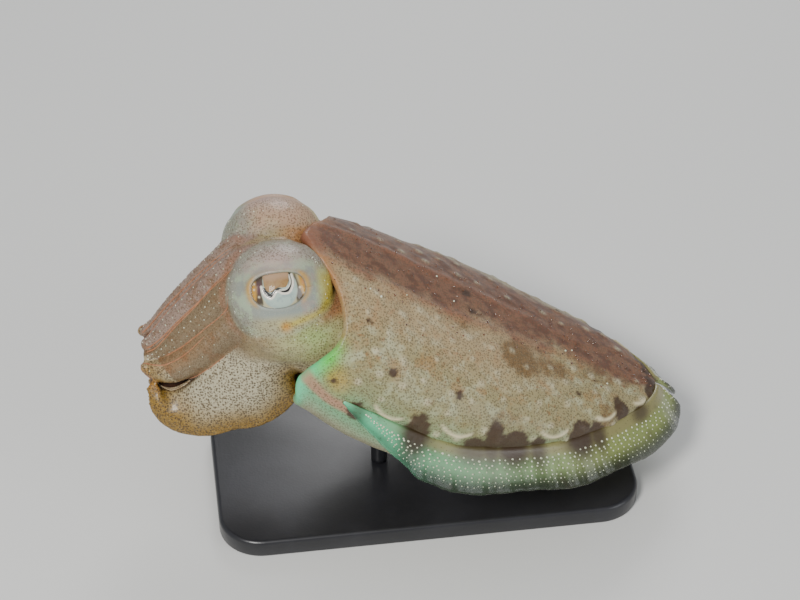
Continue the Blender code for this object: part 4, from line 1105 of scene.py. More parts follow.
def make_eye(name, side_sign):
    """A closed eyeball whose front cap is fine enough to carry the lines of the pupil."""
    matrix = eye_frame(side_sign)
    turn = 2 * math.pi * np.arange(EYE_COLUMNS) / EYE_COLUMNS
    reach = EYE_EDGE * (np.arange(1, EYE_RINGS + 1) / EYE_RINGS) ** 0.8
    x = np.append(np.outer(reach, np.cos(turn)).ravel(), 0.0)
    y = np.append(np.outer(reach, np.sin(turn)).ravel(), 0.0)
    flap_low = np.interp(x, [p[0] for p in FLAP_EDGE], [p[1] for p in FLAP_EDGE])
    flap = between(-0.08, 0.08, y - flap_low) * between(2.42, 2.26, x) * between(-2.06, -1.94, x)
    white = between(0.25, 0.14, path_distance(x, y, WHITE_LINE))
    wider = 0.16 * between(-0.9, -1.8, x)
    black = between(0.36, 0.24, path_distance(x, y, BLACK_LINE) - wider) * (1 - flap)
    inner_line = between(0.14, 0.07, path_distance(x, y, INNER_LINE))
    disc = between(1.05, 0.95, np.hypot((x + 0.1) / 3.05, (y - 0.9) / 3.4))
    # The corners of the lids are painted shade: dark where the eyeball lies sunk beneath them.
    corner = between(2.65, 2.95, np.abs(x)) * between(3.9, 3.3, np.abs(x) + 0.25 * (y - 1.0))
    corner *= between(-2.2, -1.0, y)
    corner = np.maximum(corner, between(2.25, 2.5, x) * between(1.5, 2.0, y) * between(4.0, 3.4, x))
    height = eye_height(x, y)
    height += 0.10 * flap + 0.07 * white - 0.10 * black * (1 - white)
    cap = np.array([matrix @ Vector(p) for p in zip(x, y, height)])
    rings = cap[:-1].reshape(EYE_RINGS, EYE_COLUMNS, 3)
    made = tube(name, rings, cap[-1], matrix @ Vector((0.0, 0.0, 0.0)))
    disc *= 1 - between(2.3, 2.6, x) * between(1.3, 1.9, y)
    values = {
        "white": np.maximum(white, 0.8 * inner_line * (1 - flap)),
        "black": black * (1 - inner_line),
        "flap": flap,
        "flap_top": flap * between(1.9, 3.3, y),
        "blue": disc * (1 - flap),
        "corner": corner * (1 - disc),
        "purple": bump(np.hypot((x - 3.25) / 0.7, (y - 1.4) / 1.1), 1.0) * (1 - disc),
        "pink": bump(np.hypot((x + 4.25) / 0.3, (y - 1.6) / 0.6), 1.0),
        "gold": between(3.2, 3.9, np.abs(x)),
        "speck": np.maximum.reduce([bump(np.hypot(x - a, y - b), 0.16) for a, b in EYE_SPECKS]),
    }
    for key, value in values.items():
        keep_value(made, key, np.append(value[:-1], [value[-1], 0.0]))
    return made


eye_left, eye_right = make_eye("eye_skin_left", 1), make_eye("eye_skin_right", -1)
print("points on each eyeball:", len(eye_left.data.vertices))

# %% [markdown]
# ## Suckers, edges and spots
#
# Every arm carries four rows of suckers on its inner face, right to the tip. There are hundreds of them, so
# each is a small cup of mesh and all are joined into one object. Orange edges run along the arms and white
# spots follow them. They are laid on the fused skin by asking it for its nearest point.

# %% Suckers
SUCKERS_ALONG = 26
SUCKER_ROWS = (-0.62, -0.21, 0.21, 0.62)
# Where the rows start on an arm, how far they reach, how they crowd to the tip, and a cup's share of the arm.
SUCKER_START = 0.34
SUCKER_REACH = 0.645
SUCKER_CROWDING = 0.85
SUCKER_SHARE = 0.20
CUP_PROFILE = ((0.62, -0.55), (0.80, 0.10), (1.00, 0.45), (0.98, 0.66), (0.82, 0.74), (0.62, 0.62),
               (0.50, 0.28))
CUP_SIDES = 12


def cup(place, facing, radius):
    facing = Vector(facing).normalized()
    aside = facing.orthogonal().normalized()
    across = facing.cross(aside)
    points = []
    for ring_radius, lift in CUP_PROFILE:
        for k in range(CUP_SIDES):
            turn = 2 * math.pi * k / CUP_SIDES
            offset = (aside * math.cos(turn) + across * math.sin(turn)) * radius * ring_radius
            points.append(Vector(place) + offset + facing * radius * lift)
    points.append(Vector(place) + facing * radius * 0.22)
    points.append(Vector(place) - facing * radius * 0.6)
    faces = grid_faces(len(CUP_PROFILE), CUP_SIDES)
    last = (len(CUP_PROFILE) - 1) * CUP_SIDES
    faces += [(last + k, last + (k + 1) % CUP_SIDES, len(points) - 2) for k in range(CUP_SIDES)]
    faces += [((k + 1) % CUP_SIDES, k, len(points) - 1) for k in range(CUP_SIDES)]
    return points, faces


cups = Heap()
for mirror in (1.0, -1.0):
    flip = np.array([1.0, mirror, 1.0])
    for pair in ARM_ROUTES:
        for row, spread in enumerate(SUCKER_ROWS):
            for k in range(SUCKERS_ALONG):
                step = ((k + 0.5 * (row % 2)) / SUCKERS_ALONG) ** SUCKER_CROWDING
                share = SUCKER_START + SUCKER_REACH * step
                middle, thick, wide, ahead, inwards, aside = arm_place(pair, share)
                round_off = math.sqrt(1.0 - spread**2)
                oral_height = thick * (ORAL_FLATNESS if pair < 4 else 0.86) * round_off
                facing = inwards * round_off * 1.2 + aside * spread
                place = middle + inwards * oral_height + aside * spread * wide
                cups.add(*cup(place * flip, facing * flip, SUCKER_SHARE * wide))
suckers = cups.object("suckers")
outwards(suckers)
print("suckers:", 2 * len(ARM_ROUTES) * len(SUCKER_ROWS) * SUCKERS_ALONG)

# %% [markdown]
# Between the third and fourth arms is a slit through which only shadow is seen. A plain dark form fills
# the space inside the bunch of arms, where the mouth and its soft lining lie, and a dark membrane on each
# side closes the view just behind the slit. Both are painted shade, dark for that shadow.

# %% Lining of the mouth and membranes, dark as painted shade
LINING_SIDES = 32
LINING_HALF_HEIGHT = 2.2
MEMBRANE_SIDES = 24
MEMBRANE_SET_BACK = 1.3
MEMBRANE_HALF = 0.35
lining_rings = []
for share in np.linspace(0.05, 0.86, 40):
    axis = curve_through(numbered(BUNCH_AXIS), share)
    inner = 0.5 * (arm_place(3, share)[0] + arm_place(4, share)[0])
    half_width = max(abs(inner[1]) - 1.6, 0.8) * (1.0 - max(0.0, share - 0.7) * 2.0)
    half_height = LINING_HALF_HEIGHT * (1.0 - max(0.0, share - 0.7) * 2.5)
    turn = 2 * math.pi * np.arange(LINING_SIDES) / LINING_SIDES
    height = 0.5 * (axis[2] + inner[2]) - 0.6
    lining_rings.append(np.column_stack([np.full(LINING_SIDES, axis[0]) + 0.09 * np.sin(9 * turn),
                                         half_width * np.sin(turn), height + half_height * np.cos(turn)]))
shade_membranes = []
for mirror in (1.0, -1.0):
    rings = []
    for share in np.linspace(0.40, 0.97, 40):
        upper, lower = arm_place(3, share)[0], arm_place(4, share)[0]
        turn = 2 * math.pi * np.arange(MEMBRANE_SIDES) / MEMBRANE_SIDES
        middle = 0.5 * (upper + lower) + np.array([0.0, MEMBRANE_SET_BACK, 0.0])
        across = 0.5 * (upper - lower) * 0.95
        depth = np.array([0.0, MEMBRANE_HALF, 0.0])
        ring = middle + np.outer(np.cos(turn), across) + np.outer(np.sin(turn), depth)
        rings.append(ring * [1.0, mirror, 1.0])
    shade_membranes.append(tube("shade_membrane", rings))
shade_lining = join("mouth_lining_shade", [tube("shade_lining", lining_rings)] + shade_membranes)
print("lining's faces:", len(shade_lining.data.polygons))

# %% Orange edges along the arms
EDGE_RADIUS = 0.13
EDGE_SIDES = 10
EDGE_STEPS = 60


def on_skin(place):
    """The nearest point of the fused skin, and its direction outwards."""
    _, spot, facing, _ = head.closest_point_on_mesh(Vector(place))
    return np.array(spot), np.array(facing)


def edge_route(pair, start=0.12):
    """Along the lower edge of an arm, round its tip and back along the upper one."""
    route = []
    below = {1: 2, 2: 3, 3: 4}[pair]
    to_tip, to_root = np.linspace(start, 1.0, EDGE_STEPS), np.linspace(1.0, start, EDGE_STEPS)
    for way, shares in ((1.0, to_tip), (-1.0, to_root)):
        for share in shares:
            middle, thick, wide, ahead, inwards, aside = arm_place(pair, share)
            lower = np.sign((arm_place(below, share)[0] - middle) @ aside)
            out = middle + aside * lower * way * wide - inwards * thick * 0.45
            if share > 0.97:
                out = out + ahead * thick
            route.append(out)
    return np.array(route)


def eased(route, times=6):
    for _ in range(times):
        route[1:-1] = 0.25 * route[:-2] + 0.5 * route[1:-1] + 0.25 * route[2:]
    return route


def strip(name, route, radius_at):
    """A slim tube along a route, its radius following a function of the share."""
    rings = []
    for k in range(len(route)):
        ahead = route[min(k + 1, len(route) - 1)] - route[max(k - 1, 0)]
        ahead = Vector(ahead).normalized()
        aside = ahead.orthogonal().normalized()
        across = ahead.cross(aside)
        radius = radius_at(k / (len(route) - 1))
        rings.append([Vector(route[k]) + (aside * math.cos(t) + across * math.sin(t)) * radius
                      for t in (2 * math.pi * j / EDGE_SIDES for j in range(EDGE_SIDES))])
    return tube(name, rings)


strips = []
for mirror in (1.0, -1.0):
    for pair in (1, 2, 3):
        wanted = eased(edge_route(pair, 0.34 if pair == 3 else 0.14)) * np.array([1.0, mirror, 1.0])
        laid = eased(np.array([on_skin(p)[0] for p in wanted]), 4)
        taper = lambda t: EDGE_RADIUS * (0.35 + 0.65 * math.sin(math.pi * t) ** 0.5)
        strips.append(strip("edge", laid, taper))
edges = join("arm_edges", strips)
print("arm edges:", len(strips))

# %% White spots on the arms and the head, and glossy warts on the back
SPOTS_ON_A_SWELLING = 34
WARTS_ON_THE_BACK = 210
white, glossy = Heap(), Heap()
rng = random.Random(12)
for mirror in (1.0, -1.0):
    flip = np.array([1.0, mirror, 1.0])
    for pair, offsets in ((1, (-0.35, 0.55)), (2, (-0.5, 0.35)), (3, (-0.4,))):
        for offset in offsets:
            share = 0.10
            while share < 0.97:
                middle, thick, wide, ahead, inwards, aside = arm_place(pair, share)
                spread = offset + rng.uniform(-0.06, 0.06)
                out = middle + aside * spread * wide - inwards * thick * 1.2
                place, facing = on_skin(out * flip)
                radius = rng.uniform(0.08, 0.16) * (1.0 if pair < 3 else 0.7)
                white.add(*lens(place, facing, radius, 0.14))
                share += rng.uniform(0.046, 0.062) if pair < 3 else rng.uniform(0.07, 0.12)
    for _ in range(SPOTS_ON_A_SWELLING):
        turn, reach = rng.uniform(0, 2 * math.pi), rng.uniform(6.4, 8.7)
        wanted = Vector((reach * math.cos(turn), reach * math.sin(turn), 3.4))
        place, facing = on_skin(eye_frame(int(mirror)) @ wanted)
        white.add(*lens(place, facing, rng.uniform(0.08, 0.14), 0.10))
for _ in range(WARTS_ON_THE_BACK):
    s, angle = rng.uniform(3.0, 74.0), rng.gauss(0.0, 13.0)
    place = mantle_surface(s, angle % 360.0)
    _, spot, facing, _ = mantle.closest_point_on_mesh(Vector(place))
    # A few warts are white: painted highlights that stand for glints on the wet back.
    target = glossy if rng.random() < 0.97 else white
    target.add(*lens(spot, facing, rng.uniform(0.12, 0.26), rng.uniform(0.12, 0.30), 10))
white_spots, back_warts = white.object("white_spots"), glossy.object("back_warts")
print("white spots and warts:", len(white_spots.data.polygons), len(back_warts.data.polygons))

# %% [markdown]
# ## The stand
#
# A swimming animal needs something under it on a shelf: a flat base and two rods up to the belly. They repeat
# the solids' sizes with rounder corners and softly bevelled edges, and the rods end just inside the skin.

# %% Base and rods
BASE_LENGTH, BASE_WIDTH, BASE_CORNER, BASE_EDGE = 78.0, 38.0, 8.0, 0.8
ROD_RADIUS = 1.5
ROD_SIDES = 64
ROD_RINGS = 12
ROD_PLACES = ((-7.0, "stand_rod_front"), (21.0, "stand_rod_rear"))


def rounded_outline(inset, height, steps=16):
    points = []
    corner = BASE_CORNER - inset
    for number, (sx, sy) in enumerate(((1, 1), (-1, 1), (-1, -1), (1, -1))):
        x = BASE_MIDDLE + sx * (0.5 * BASE_LENGTH - BASE_CORNER)
        y = sy * (0.5 * BASE_WIDTH - BASE_CORNER)
        for k in range(steps + 1):
            turn = 0.5 * math.pi * (number + k / steps)
            points.append((x + corner * math.cos(turn), y + corner * math.sin(turn), height))
    return points


low, top = BASE_UNDERSIDE, BASE_UNDERSIDE + BASE_HEIGHT
base_rings = [rounded_outline(0.35, low), rounded_outline(0.1, low + 0.1), rounded_outline(0.0, low + 0.35)]
for k in range(9):
    turn = 0.5 * math.pi * k / 8
    inset, drop = BASE_EDGE * (1 - math.cos(turn)), BASE_EDGE * (1 - math.sin(turn))
    base_rings.append(rounded_outline(inset, top - drop))
stand_base = tube("stand_base_skin", base_rings)
rods = []
for x, node in ROD_PLACES:
    rod_low, rod_high = (1000 * corner[2] - SHIFT[2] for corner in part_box(node))
    heights = [rod_low, rod_low + 0.1] + list(np.linspace(rod_low + 1.0, rod_high + 0.2, ROD_RINGS))
    radii = [ROD_RADIUS - 0.12] + [ROD_RADIUS] * (ROD_RINGS + 1)
    turns = 2 * math.pi * np.arange(ROD_SIDES) / ROD_SIDES
    rings = [np.column_stack([x + r * np.cos(turns), r * np.sin(turns), np.full(ROD_SIDES, h)])
             for h, r in zip(heights, radii)]
    rods.append(tube(node + "_skin", rings))
print("rods:", [round(float(rod.dimensions.z), 1) for rod in rods], "mm")

# %% [markdown]
# ## Materials
#
# The colours are written as they look on a screen, from 0 to 255, and turned into the linear values that
# shaders work in. `layer` lays one colour over another through a mask, which is how every skin below is
# built up.

# %% Helpers for materials
RICHNESS = 1.22
DEPTH = 0.86


def paint(red, green, blue):
    """A screen colour as linear values, a little richer than it looks, because bright light pales it."""
    linear = [((c / 255 + 0.055) / 1.055) ** 2.4 for c in (red, green, blue)]
    grey = 0.21 * linear[0] + 0.72 * linear[1] + 0.07 * linear[2]
    return tuple(max(grey + (c - grey) * RICHNESS, 0.0) * DEPTH for c in linear) + (1.0,)


def new_finish(name, roughness, coat=0.0, coat_roughness=0.1):
    made = bpy.data.materials.new(name)
    made.use_nodes = True
    shader = made.node_tree.nodes["Principled BSDF"]
    shader.inputs["Roughness"].default_value = roughness
    shader.inputs["Coat Weight"].default_value = coat
    shader.inputs["Coat Roughness"].default_value = coat_roughness
    return made, made.node_tree, shader


def mask_of(tree, name):
    node = tree.nodes.new("ShaderNodeAttribute")
    node.attribute_name = name
    return node.outputs["Fac"]


def layer(tree, below, above, mask, share=1.0):
    """The colour below, covered by the colour above where the mask is 1, by at most the given share."""
    mix = tree.nodes.new("ShaderNodeMix")
    mix.data_type = "RGBA"
    if share < 1.0:
        scale = tree.nodes.new("ShaderNodeMath")
        scale.operation = "MULTIPLY"
        tree.links.new(mask, scale.inputs[0])
        scale.inputs[1].default_value = share
        mask = scale.outputs[0]
    tree.links.new(mask, mix.inputs[0])
    for socket, colour in ((mix.inputs[6], below), (mix.inputs[7], above)):
        if isinstance(colour, tuple):
            socket.default_value = colour
        else:
            tree.links.new(colour, socket)
    return mix.outputs[2]


def maths(tree, operation, first, second):
    node = tree.nodes.new("ShaderNodeMath")
    node.operation = operation
    node.use_clamp = operation == "SUBTRACT"
    for socket, value in zip(node.inputs, (first, second)):
        if isinstance(value, (int, float)):
            socket.default_value = value
        else:
            tree.links.new(value, socket)
    return node.outputs[0]


def build_up(tree, base, rows):
    """A base colour under many others; a row is a colour, its mask or the mask's name, and its most share."""
    colour = base
    for above, mask, share in rows:
        if isinstance(mask, str):
            mask = mask_of(tree, mask)
        colour = layer(tree, colour, paint(*above), mask, share)
    return colour


# %% [markdown]
# Three effects are used by several skins, so each is a node group. `Colour dots` are the chromatophores,
# tiny sacs of pigment that a cuttlefish opens and closes; each is a round spot about 0.2 mm wide. The same
# group, set closer and smaller, gives the pale specks between them. `Mottle` is a cloud of soft patches,
# and `Wet grain` gives the fine bumps of skin.

# %% Node groups
def new_group(name, inputs, outputs):
    group = bpy.data.node_groups.new(name, "ShaderNodeTree")
    for label, value in inputs:
        socket = group.interface.new_socket(label, in_out="INPUT", socket_type="NodeSocketFloat")
        socket.default_value = value
    for label in outputs:
        group.interface.new_socket(label, in_out="OUTPUT", socket_type="NodeSocketFloat")
    return group, group.nodes.new("NodeGroupInput"), group.nodes.new("NodeGroupOutput")


def switch(tree, value, low, high, rising=True):
    """A soft step from 0 to 1 between two values."""
    node = tree.nodes.new("ShaderNodeMapRange")
    node.interpolation_type = "SMOOTHSTEP"
    tree.links.new(value, node.inputs["Value"])
    for label, amount in (("From Min", low), ("From Max", high)):
        if isinstance(amount, (int, float)):
            node.inputs[label].default_value = amount
        else:
            tree.links.new(amount, node.inputs[label])
    node.inputs["To Min"].default_value = 0.0 if rising else 1.0
    node.inputs["To Max"].default_value = 1.0 if rising else 0.0
    return node.outputs["Result"]


def per_metre(group, spacing):
    return maths(group, "DIVIDE", 1.0, spacing)


def build_dots():
    group, given, out = new_group("Colour dots", (("Spacing", 0.00042), ("Size", 0.30), ("Softness", 0.10)),
                                  ("Mask",))
    position = group.nodes.new("ShaderNodeTexCoord")
    cells = group.nodes.new("ShaderNodeTexVoronoi")
    cells.inputs["Randomness"].default_value = 0.75
    group.links.new(position.outputs["Object"], cells.inputs["Vector"])
    group.links.new(per_metre(group, given.outputs["Spacing"]), cells.inputs["Scale"])
    inner = maths(group, "SUBTRACT", given.outputs["Size"], given.outputs["Softness"])
    mask = switch(group, cells.outputs["Distance"], inner, given.outputs["Size"], rising=False)
    group.links.new(mask, out.inputs["Mask"])
    return group


def build_mottle():
    group, given, out = new_group("Mottle", (("Size", 0.003), ("Low", 0.45), ("High", 0.65)), ("Mask",))
    position = group.nodes.new("ShaderNodeTexCoord")
    clouds = group.nodes.new("ShaderNodeTexNoise")
    clouds.inputs["Detail"].default_value = 5.0
    clouds.inputs["Roughness"].default_value = 0.6
    group.links.new(position.outputs["Object"], clouds.inputs["Vector"])
    group.links.new(per_metre(group, given.outputs["Size"]), clouds.inputs["Scale"])
    mask = switch(group, clouds.outputs["Fac"], given.outputs["Low"], given.outputs["High"])
    group.links.new(mask, out.inputs["Mask"])
    return group


def build_grain():
    group, given, out = new_group("Wet grain", (("Size", 0.0006),), ("Height",))
    position = group.nodes.new("ShaderNodeTexCoord")
    grain = group.nodes.new("ShaderNodeTexNoise")
    grain.inputs["Detail"].default_value = 3.0
    cells = group.nodes.new("ShaderNodeTexVoronoi")
    cells.feature = "SMOOTH_F1"
    for node in (grain, cells):
        group.links.new(position.outputs["Object"], node.inputs["Vector"])
        group.links.new(per_metre(group, given.outputs["Size"]), node.inputs["Scale"])
    half = maths(group, "MULTIPLY", grain.outputs["Fac"], 0.5)
    group.links.new(maths(group, "ADD", half, cells.outputs["Distance"]), out.inputs["Height"])
    return group


DOTS, MOTTLE, GRAIN = build_dots(), build_mottle(), build_grain()


def use(tree, group, **values):
    node = tree.nodes.new("ShaderNodeGroup")
    node.node_tree = group
    for label, value in values.items():
        node.inputs[label].default_value = value
    return node


def clouds(tree, size, low, high):
    return use(tree, MOTTLE, Size=size, Low=low, High=high).outputs["Mask"]


def dots(tree, spacing, size, softness):
    return use(tree, DOTS, Spacing=spacing, Size=size, Softness=softness).outputs["Mask"]


def both(tree, first, second):
    return maths(tree, "MULTIPLY", first, second)


def without(tree, mask, other):
    return maths(tree, "SUBTRACT", mask, other)


def add_grain(tree, shader, size, strength, distance=0.0001):
    bumps = tree.nodes.new("ShaderNodeBump")
    bumps.inputs["Strength"].default_value = strength
    bumps.inputs["Distance"].default_value = distance
    tree.links.new(use(tree, GRAIN, Size=size).outputs["Height"], bumps.inputs["Height"])
    tree.links.new(bumps.outputs["Normal"], shader.inputs["Normal"])


def dress(made, finish):
    made.data.materials.clear()
    made.data.materials.append(finish)


def soft_flesh(tree, shader, colour, grain_size, grain_strength):
    """Joins the colour and the grain to the shader, and lets a little light into the skin."""
    tree.links.new(colour, shader.inputs["Base Color"])
    add_grain(tree, shader, grain_size, grain_strength)
    shader.inputs["Subsurface Weight"].default_value = 0.08
    shader.inputs["Subsurface Radius"].default_value = (0.0012, 0.0007, 0.0004)
    shader.inputs["Subsurface Scale"].default_value = 1.0


print("node groups:", ", ".join(group.name for group in (DOTS, MOTTLE, GRAIN)))

# %% [markdown]
# The mantle is pale greyish beige on the flanks with brown clouds and dense dark dots, dark reddish brown
# along the back, where on the right side the dark runs far down the flank as painted shade, and turquoise
# where the light catches the mirror cells of the belly behind the front of the fins.

# %% Mantle skin
def mantle_finish():
    made, tree, shader = new_finish("mantle skin", 0.48, 0.16, 0.2)
    back = mask_of(tree, "back")
    rows = (
        ((184, 182, 152), clouds(tree, 0.0026, 0.48, 0.66), 1.0),
        ((156, 120, 80), clouds(tree, 0.0050, 0.50, 0.66), 0.6),
        ((128, 82, 44), clouds(tree, 0.0017, 0.58, 0.70), 0.65),
        ((122, 128, 96), "low", 0.42),
        ((196, 168, 138), "upper", 0.45),
        ((112, 84, 50), "brown", 0.85),
        # The back's brown and its dark clouds, with painted shade where they run down the right flank.
        ((120, 80, 60), back, 0.92),
        ((84, 50, 36), both(tree, back, clouds(tree, 0.0021, 0.46, 0.6)), 0.75),
        ((150, 104, 82), "pink", 0.75),
        ((166, 120, 84), "collar", 0.9),
        ((184, 180, 156), "belly", 0.9),
        ((118, 172, 132), "turquoise", 0.85),
        ((176, 146, 74), "gold", 0.75),
        ((122, 220, 172), "lip", 0.92),
        ((106, 214, 84), "lip_top", 0.92),
        ((176, 132, 112), "groove", 0.85),
        ((222, 214, 186), "cream", 0.7),
        ((78, 68, 48), without(tree, dots(tree, 0.00042, 0.52, 0.24), mask_of(tree, "smooth")), 0.6),
        ((214, 212, 186), without(tree, dots(tree, 0.00029, 0.26, 0.1), back), 0.3),
        ((58, 36, 18), "dark", 0.93),
        ((226, 216, 184), "arc", 0.95),
    )
    soft_flesh(tree, shader, build_up(tree, paint(160, 150, 116), rows), 0.0005, 0.45)
    return made


dress(mantle, mantle_finish())

# %% Head skin
def head_finish():
    made, tree, shader = new_finish("head skin", 0.46, 0.18, 0.18)
    bulge = mask_of(tree, "bulge")
    rows = (
        ((168, 156, 126), clouds(tree, 0.0024, 0.46, 0.66), 0.7),
        # Painted light: the neck band is painted lighter to lift the shade of its crevice.
        ((174, 130, 94), "neck_painted_light", 0.85),
        ((124, 108, 86), "arms", 0.95),
        ((152, 132, 122), "first", 0.8),
        ((116, 84, 56), both(tree, mask_of(tree, "arms"), clouds(tree, 0.0030, 0.5, 0.64)), 0.6),
        ((176, 172, 134), "cheek", 0.8),
        ((160, 190, 124), "green", 0.65),
        ((190, 184, 160), "keel", 0.9),
        ((136, 106, 26), "rim", 0.95),
        ((148, 158, 154), bulge, 0.9),
        ((174, 190, 162), both(tree, bulge, clouds(tree, 0.0026, 0.5, 0.62)), 0.8),
        ((178, 156, 146), both(tree, bulge, clouds(tree, 0.0041, 0.54, 0.66)), 0.6),
        ((208, 160, 122), "far", 0.9),
        ((128, 146, 120), "far_front", 0.6),
        ((214, 204, 96), "yellow_rim", 0.8),
        ((184, 174, 132), "under_eye", 0.7),
        ((142, 104, 82), "crease", 0.6),
        ((186, 164, 156), "lid", 0.8),
        ((196, 152, 76), "gold", 0.8),
        ((196, 180, 92), "yellow", 0.7),
        ((190, 134, 72), "orange", 0.8),
        ((188, 122, 66), "web", 0.15),
        ((84, 62, 48), "oral", 0.7),
        ((96, 84, 72), "shade", 0.35),
        ((186, 134, 80), "third_rim", 0.35),
        # Painted shade along the slit between the third and fourth arms.
        ((40, 26, 18), "slit_shade", 0.9),
        ((82, 64, 40), without(tree, dots(tree, 0.00040, 0.50, 0.22), mask_of(tree, "still")), 0.6),
        ((62, 44, 22), both(tree, dots(tree, 0.00048, 0.47, 0.18), mask_of(tree, "keel")), 0.8),
        ((220, 216, 196), dots(tree, 0.00029, 0.26, 0.1), 0.25),
    )
    soft_flesh(tree, shader, build_up(tree, paint(146, 132, 102), rows), 0.00045, 0.35)
    return made


dress(head, head_finish())

# %% Fins, spots, edges and suckers
def fin_finish():
    made, tree, shader = new_finish("fin skin", 0.32, 0.5, 0.12)
    out, share = mask_of(tree, "out"), mask_of(tree, "share")
    rows = (
        ((92, 156, 120), switch(tree, share, 0.05, 0.55, rising=False), 0.8),
        # The dark outer part of the fin is painted shade, the darkness that shows through the clear fin.
        ((34, 40, 26), switch(tree, out, 0.45, 0.95), 0.92),
        ((142, 134, 96), switch(tree, out, 0.10, 0.34, rising=False), 0.85),
        ((122, 208, 166), switch(tree, share, 0.02, 0.16, rising=False), 0.75),
        ((60, 44, 30), clouds(tree, 0.0035, 0.56, 0.7), 0.3),
        ((52, 32, 18), "dark", 0.95),
        ((70, 60, 40), dots(tree, 0.00060, 0.24, 0.08), 0.5),
    )
    tree.links.new(build_up(tree, paint(140, 150, 98), rows), shader.inputs["Base Color"])
    clearness = maths(tree, "MULTIPLY", switch(tree, out, 0.5, 1.0), 0.45)
    tree.links.new(without(tree, 1.0, clearness), shader.inputs["Alpha"])
    add_grain(tree, shader, 0.0006, 0.25)
    return made


def plain_finish(name, first, second, roughness, coat, size):
    made, tree, shader = new_finish(name, roughness, coat, 0.1)
    colour = layer(tree, paint(*first), paint(*second), clouds(tree, size, 0.4, 0.65))
    tree.links.new(colour, shader.inputs["Base Color"])
    add_grain(tree, shader, 0.5 * size, 0.2)
    return made


fin_skin = fin_finish()
spot_finish = plain_finish("white spots", (232, 234, 214), (206, 212, 184), 0.3, 0.6, 0.0008)
edge_finish = plain_finish("arm edges", (178, 132, 104), (160, 110, 82), 0.4, 0.3, 0.001)
sucker_finish = plain_finish("suckers", (206, 192, 164), (172, 150, 120), 0.35, 0.5, 0.0008)
# The mouth lining's dark colours are painted shade.
lining_shade_finish = plain_finish("mouth lining shade", (70, 46, 34), (44, 28, 22), 0.5, 0.1, 0.0012)
wart_finish = plain_finish("warts", (120, 84, 64), (70, 42, 32), 0.15, 1.0, 0.0009)
for pieces, finish in (((fin_left, fin_right), fin_skin), ((fin_spots, white_spots), spot_finish),
                       ((edges,), edge_finish), ((suckers,), sucker_finish), ((shade_lining,), lining_shade_finish),
                       ((back_warts,), wart_finish)):
    for made in pieces:
        dress(made, finish)

# %% Eyes
def eye_finish():
    made, tree, shader = new_finish("eyeball", 0.22, 1.0, 0.03)
    blue, flap = mask_of(tree, "blue"), mask_of(tree, "flap")
    rows = (
        ((206, 160, 84), "gold", 0.9),
        # Painted shade in the corners of the lids.
        ((52, 40, 32), "corner", 0.92),
        ((104, 66, 84), "purple", 0.6),
        ((184, 200, 190), blue, 1.0),
        ((150, 166, 166), both(tree, blue, clouds(tree, 0.0012, 0.5, 0.7)), 0.7),
        ((154, 124, 84), flap, 1.0),
        ((134, 100, 62), both(tree, flap, clouds(tree, 0.0004, 0.45, 0.65)), 0.7),
        ((182, 154, 130), "flap_top", 0.8),
        ((14, 10, 10), "black", 1.0),
        ((244, 238, 224), "white", 1.0),
        ((214, 160, 128), "pink", 0.7),
        ((250, 240, 214), "speck", 1.0),
    )
    tree.links.new(build_up(tree, paint(196, 190, 160), rows), shader.inputs["Base Color"])
    tree.links.new(without(tree, 1.0, maths(tree, "MULTIPLY", flap, 0.85)), shader.inputs["Coat Weight"])
    tree.links.new(maths(tree, "ADD", 0.22, maths(tree, "MULTIPLY", flap, 0.3)), shader.inputs["Roughness"])
    add_grain(tree, shader, 0.0005, 0.06)
    return made


eye_skin = eye_finish()
dress(eye_left, eye_skin)
dress(eye_right, eye_skin)

# %% Stand
def stand_finish():
    made, tree, shader = new_finish("satin black stand", 0.34, 0.15, 0.2)
    colour = layer(tree, paint(34, 34, 37), paint(44, 44, 48), clouds(tree, 0.012, 0.35, 0.7))
    tree.links.new(colour, shader.inputs["Base Color"])
    add_grain(tree, shader, 0.0004, 0.08)
    return made


stand_skin = stand_finish()
for made in [stand_base] + rods:
    dress(made, stand_skin)

# %% [markdown]
# ## Onto the frame
#
# Each piece now moves into the imported frame, and the solids it stands for are hidden.

# %% Place every piece
arms = [f"arm_{pair}_{side}" for pair in ARM_ROUTES for side in ("left", "right")]
finish_piece(mantle, "mantle_skin", "mantle")
finish_piece(head, "head_skin", "head", "funnel", *arms)
finish_piece(fin_left, "fin_skin", "fin_left")
finish_piece(fin_right, "fin_skin", "fin_right")
finish_piece(eye_left, "eye", "eye_left")
finish_piece(eye_right, "eye", "eye_right")
finish_piece(stand_base, "stand", "stand_base")
for rod, (_, node) in zip(rods, ROD_PLACES):
    finish_piece(rod, "stand", node)
for made, slot in ((fin_spots, "fin_skin"), (white_spots, "arm_skin"), (edges, "arm_skin"),
                   (suckers, "arm_skin"), (shade_lining, "head_skin"), (back_warts, "mantle_skin")):
    finish_piece(made, slot)

# %% [markdown]
# ## Floor, light and camera
#
# The stage is a large pale floor and a few soft lamps. The camera looks down at 40 degrees from the animal's
# left and a little from the front, through a long lens, so that the drawing stays nearly free of perspective.

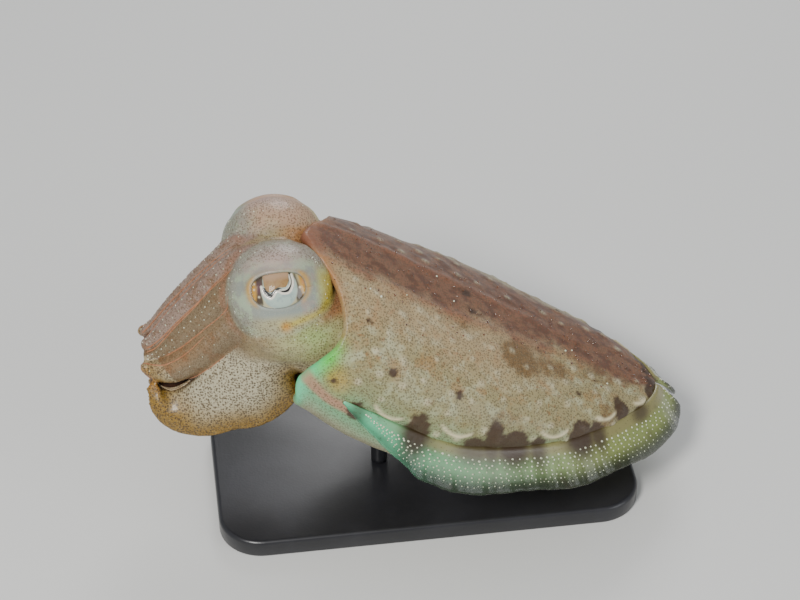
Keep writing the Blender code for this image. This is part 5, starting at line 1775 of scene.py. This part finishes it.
# %% Stage and lights
floor_size = 12.0
floor = mesh_object("floor", [(-floor_size, -floor_size, 0), (floor_size, -floor_size, 0),
                              (floor_size, floor_size, 0), (-floor_size, floor_size, 0)], [(0, 1, 2, 3)])
floor_finish, _, floor_shader = new_finish("pale floor", 0.7)
floor_shader.inputs["Base Color"].default_value = (0.72, 0.72, 0.70, 1.0)
dress(floor, floor_finish)
world = bpy.data.worlds.new("studio")
world.use_nodes = True
world.node_tree.nodes["Background"].inputs["Color"].default_value = (0.92, 0.95, 1.0, 1.0)
world.node_tree.nodes["Background"].inputs["Strength"].default_value = 0.42
bpy.context.scene.world = world


def soft_lamp(name, place, target, size, power, colour=(1.0, 1.0, 1.0)):
    lamp = bpy.data.lights.new(name, "AREA")
    lamp.shape = "DISK"
    lamp.size = size
    lamp.energy = power
    lamp.color = colour
    made = bpy.data.objects.new(name, lamp)
    bpy.context.scene.collection.objects.link(made)
    made.location = place
    made.rotation_euler = (Vector(target) - Vector(place)).to_track_quat("-Z", "Y").to_euler()
    return made


soft_lamp("key", (-0.22, -0.34, 0.42), (0, 0, 0.035), 0.14, 2.9, (1.0, 0.985, 0.96))
soft_lamp("fill", (0.38, -0.30, 0.22), (0, 0, 0.03), 0.30, 0.6, (0.95, 0.98, 1.0))
soft_lamp("back", (0.10, 0.40, 0.34), (0, 0, 0.04), 0.25, 0.9)

# %% Camera
TARGET = Vector((0.0, 0.0, 34.0)) + Vector(SHIFT)
LIFT = math.radians(40.0)
SWING = math.radians(-8.0)
DISTANCE = 400.0
FOCAL_LENGTH = 99.9
# The target stands 16 pixels right of the picture's middle and 40 below it, in a picture 800 pixels wide.
RIGHT_SHIFT, DOWN_SHIFT = 16 / 800, 40 / 800
back_off = Vector((math.sin(SWING) * math.cos(LIFT), -math.cos(SWING) * math.cos(LIFT), math.sin(LIFT)))
lens_data = bpy.data.cameras.new("camera")
lens_data.lens = FOCAL_LENGTH
lens_data.sensor_width = 36.0
lens_data.clip_start = 0.01
lens_data.shift_x = -RIGHT_SHIFT
lens_data.shift_y = DOWN_SHIFT
camera = bpy.data.objects.new("camera", lens_data)
bpy.context.scene.collection.objects.link(camera)
camera.location = (TARGET + back_off * DISTANCE) * MM
camera.rotation_euler = (-back_off).to_track_quat("-Z", "Y").to_euler()
bpy.context.scene.camera = camera
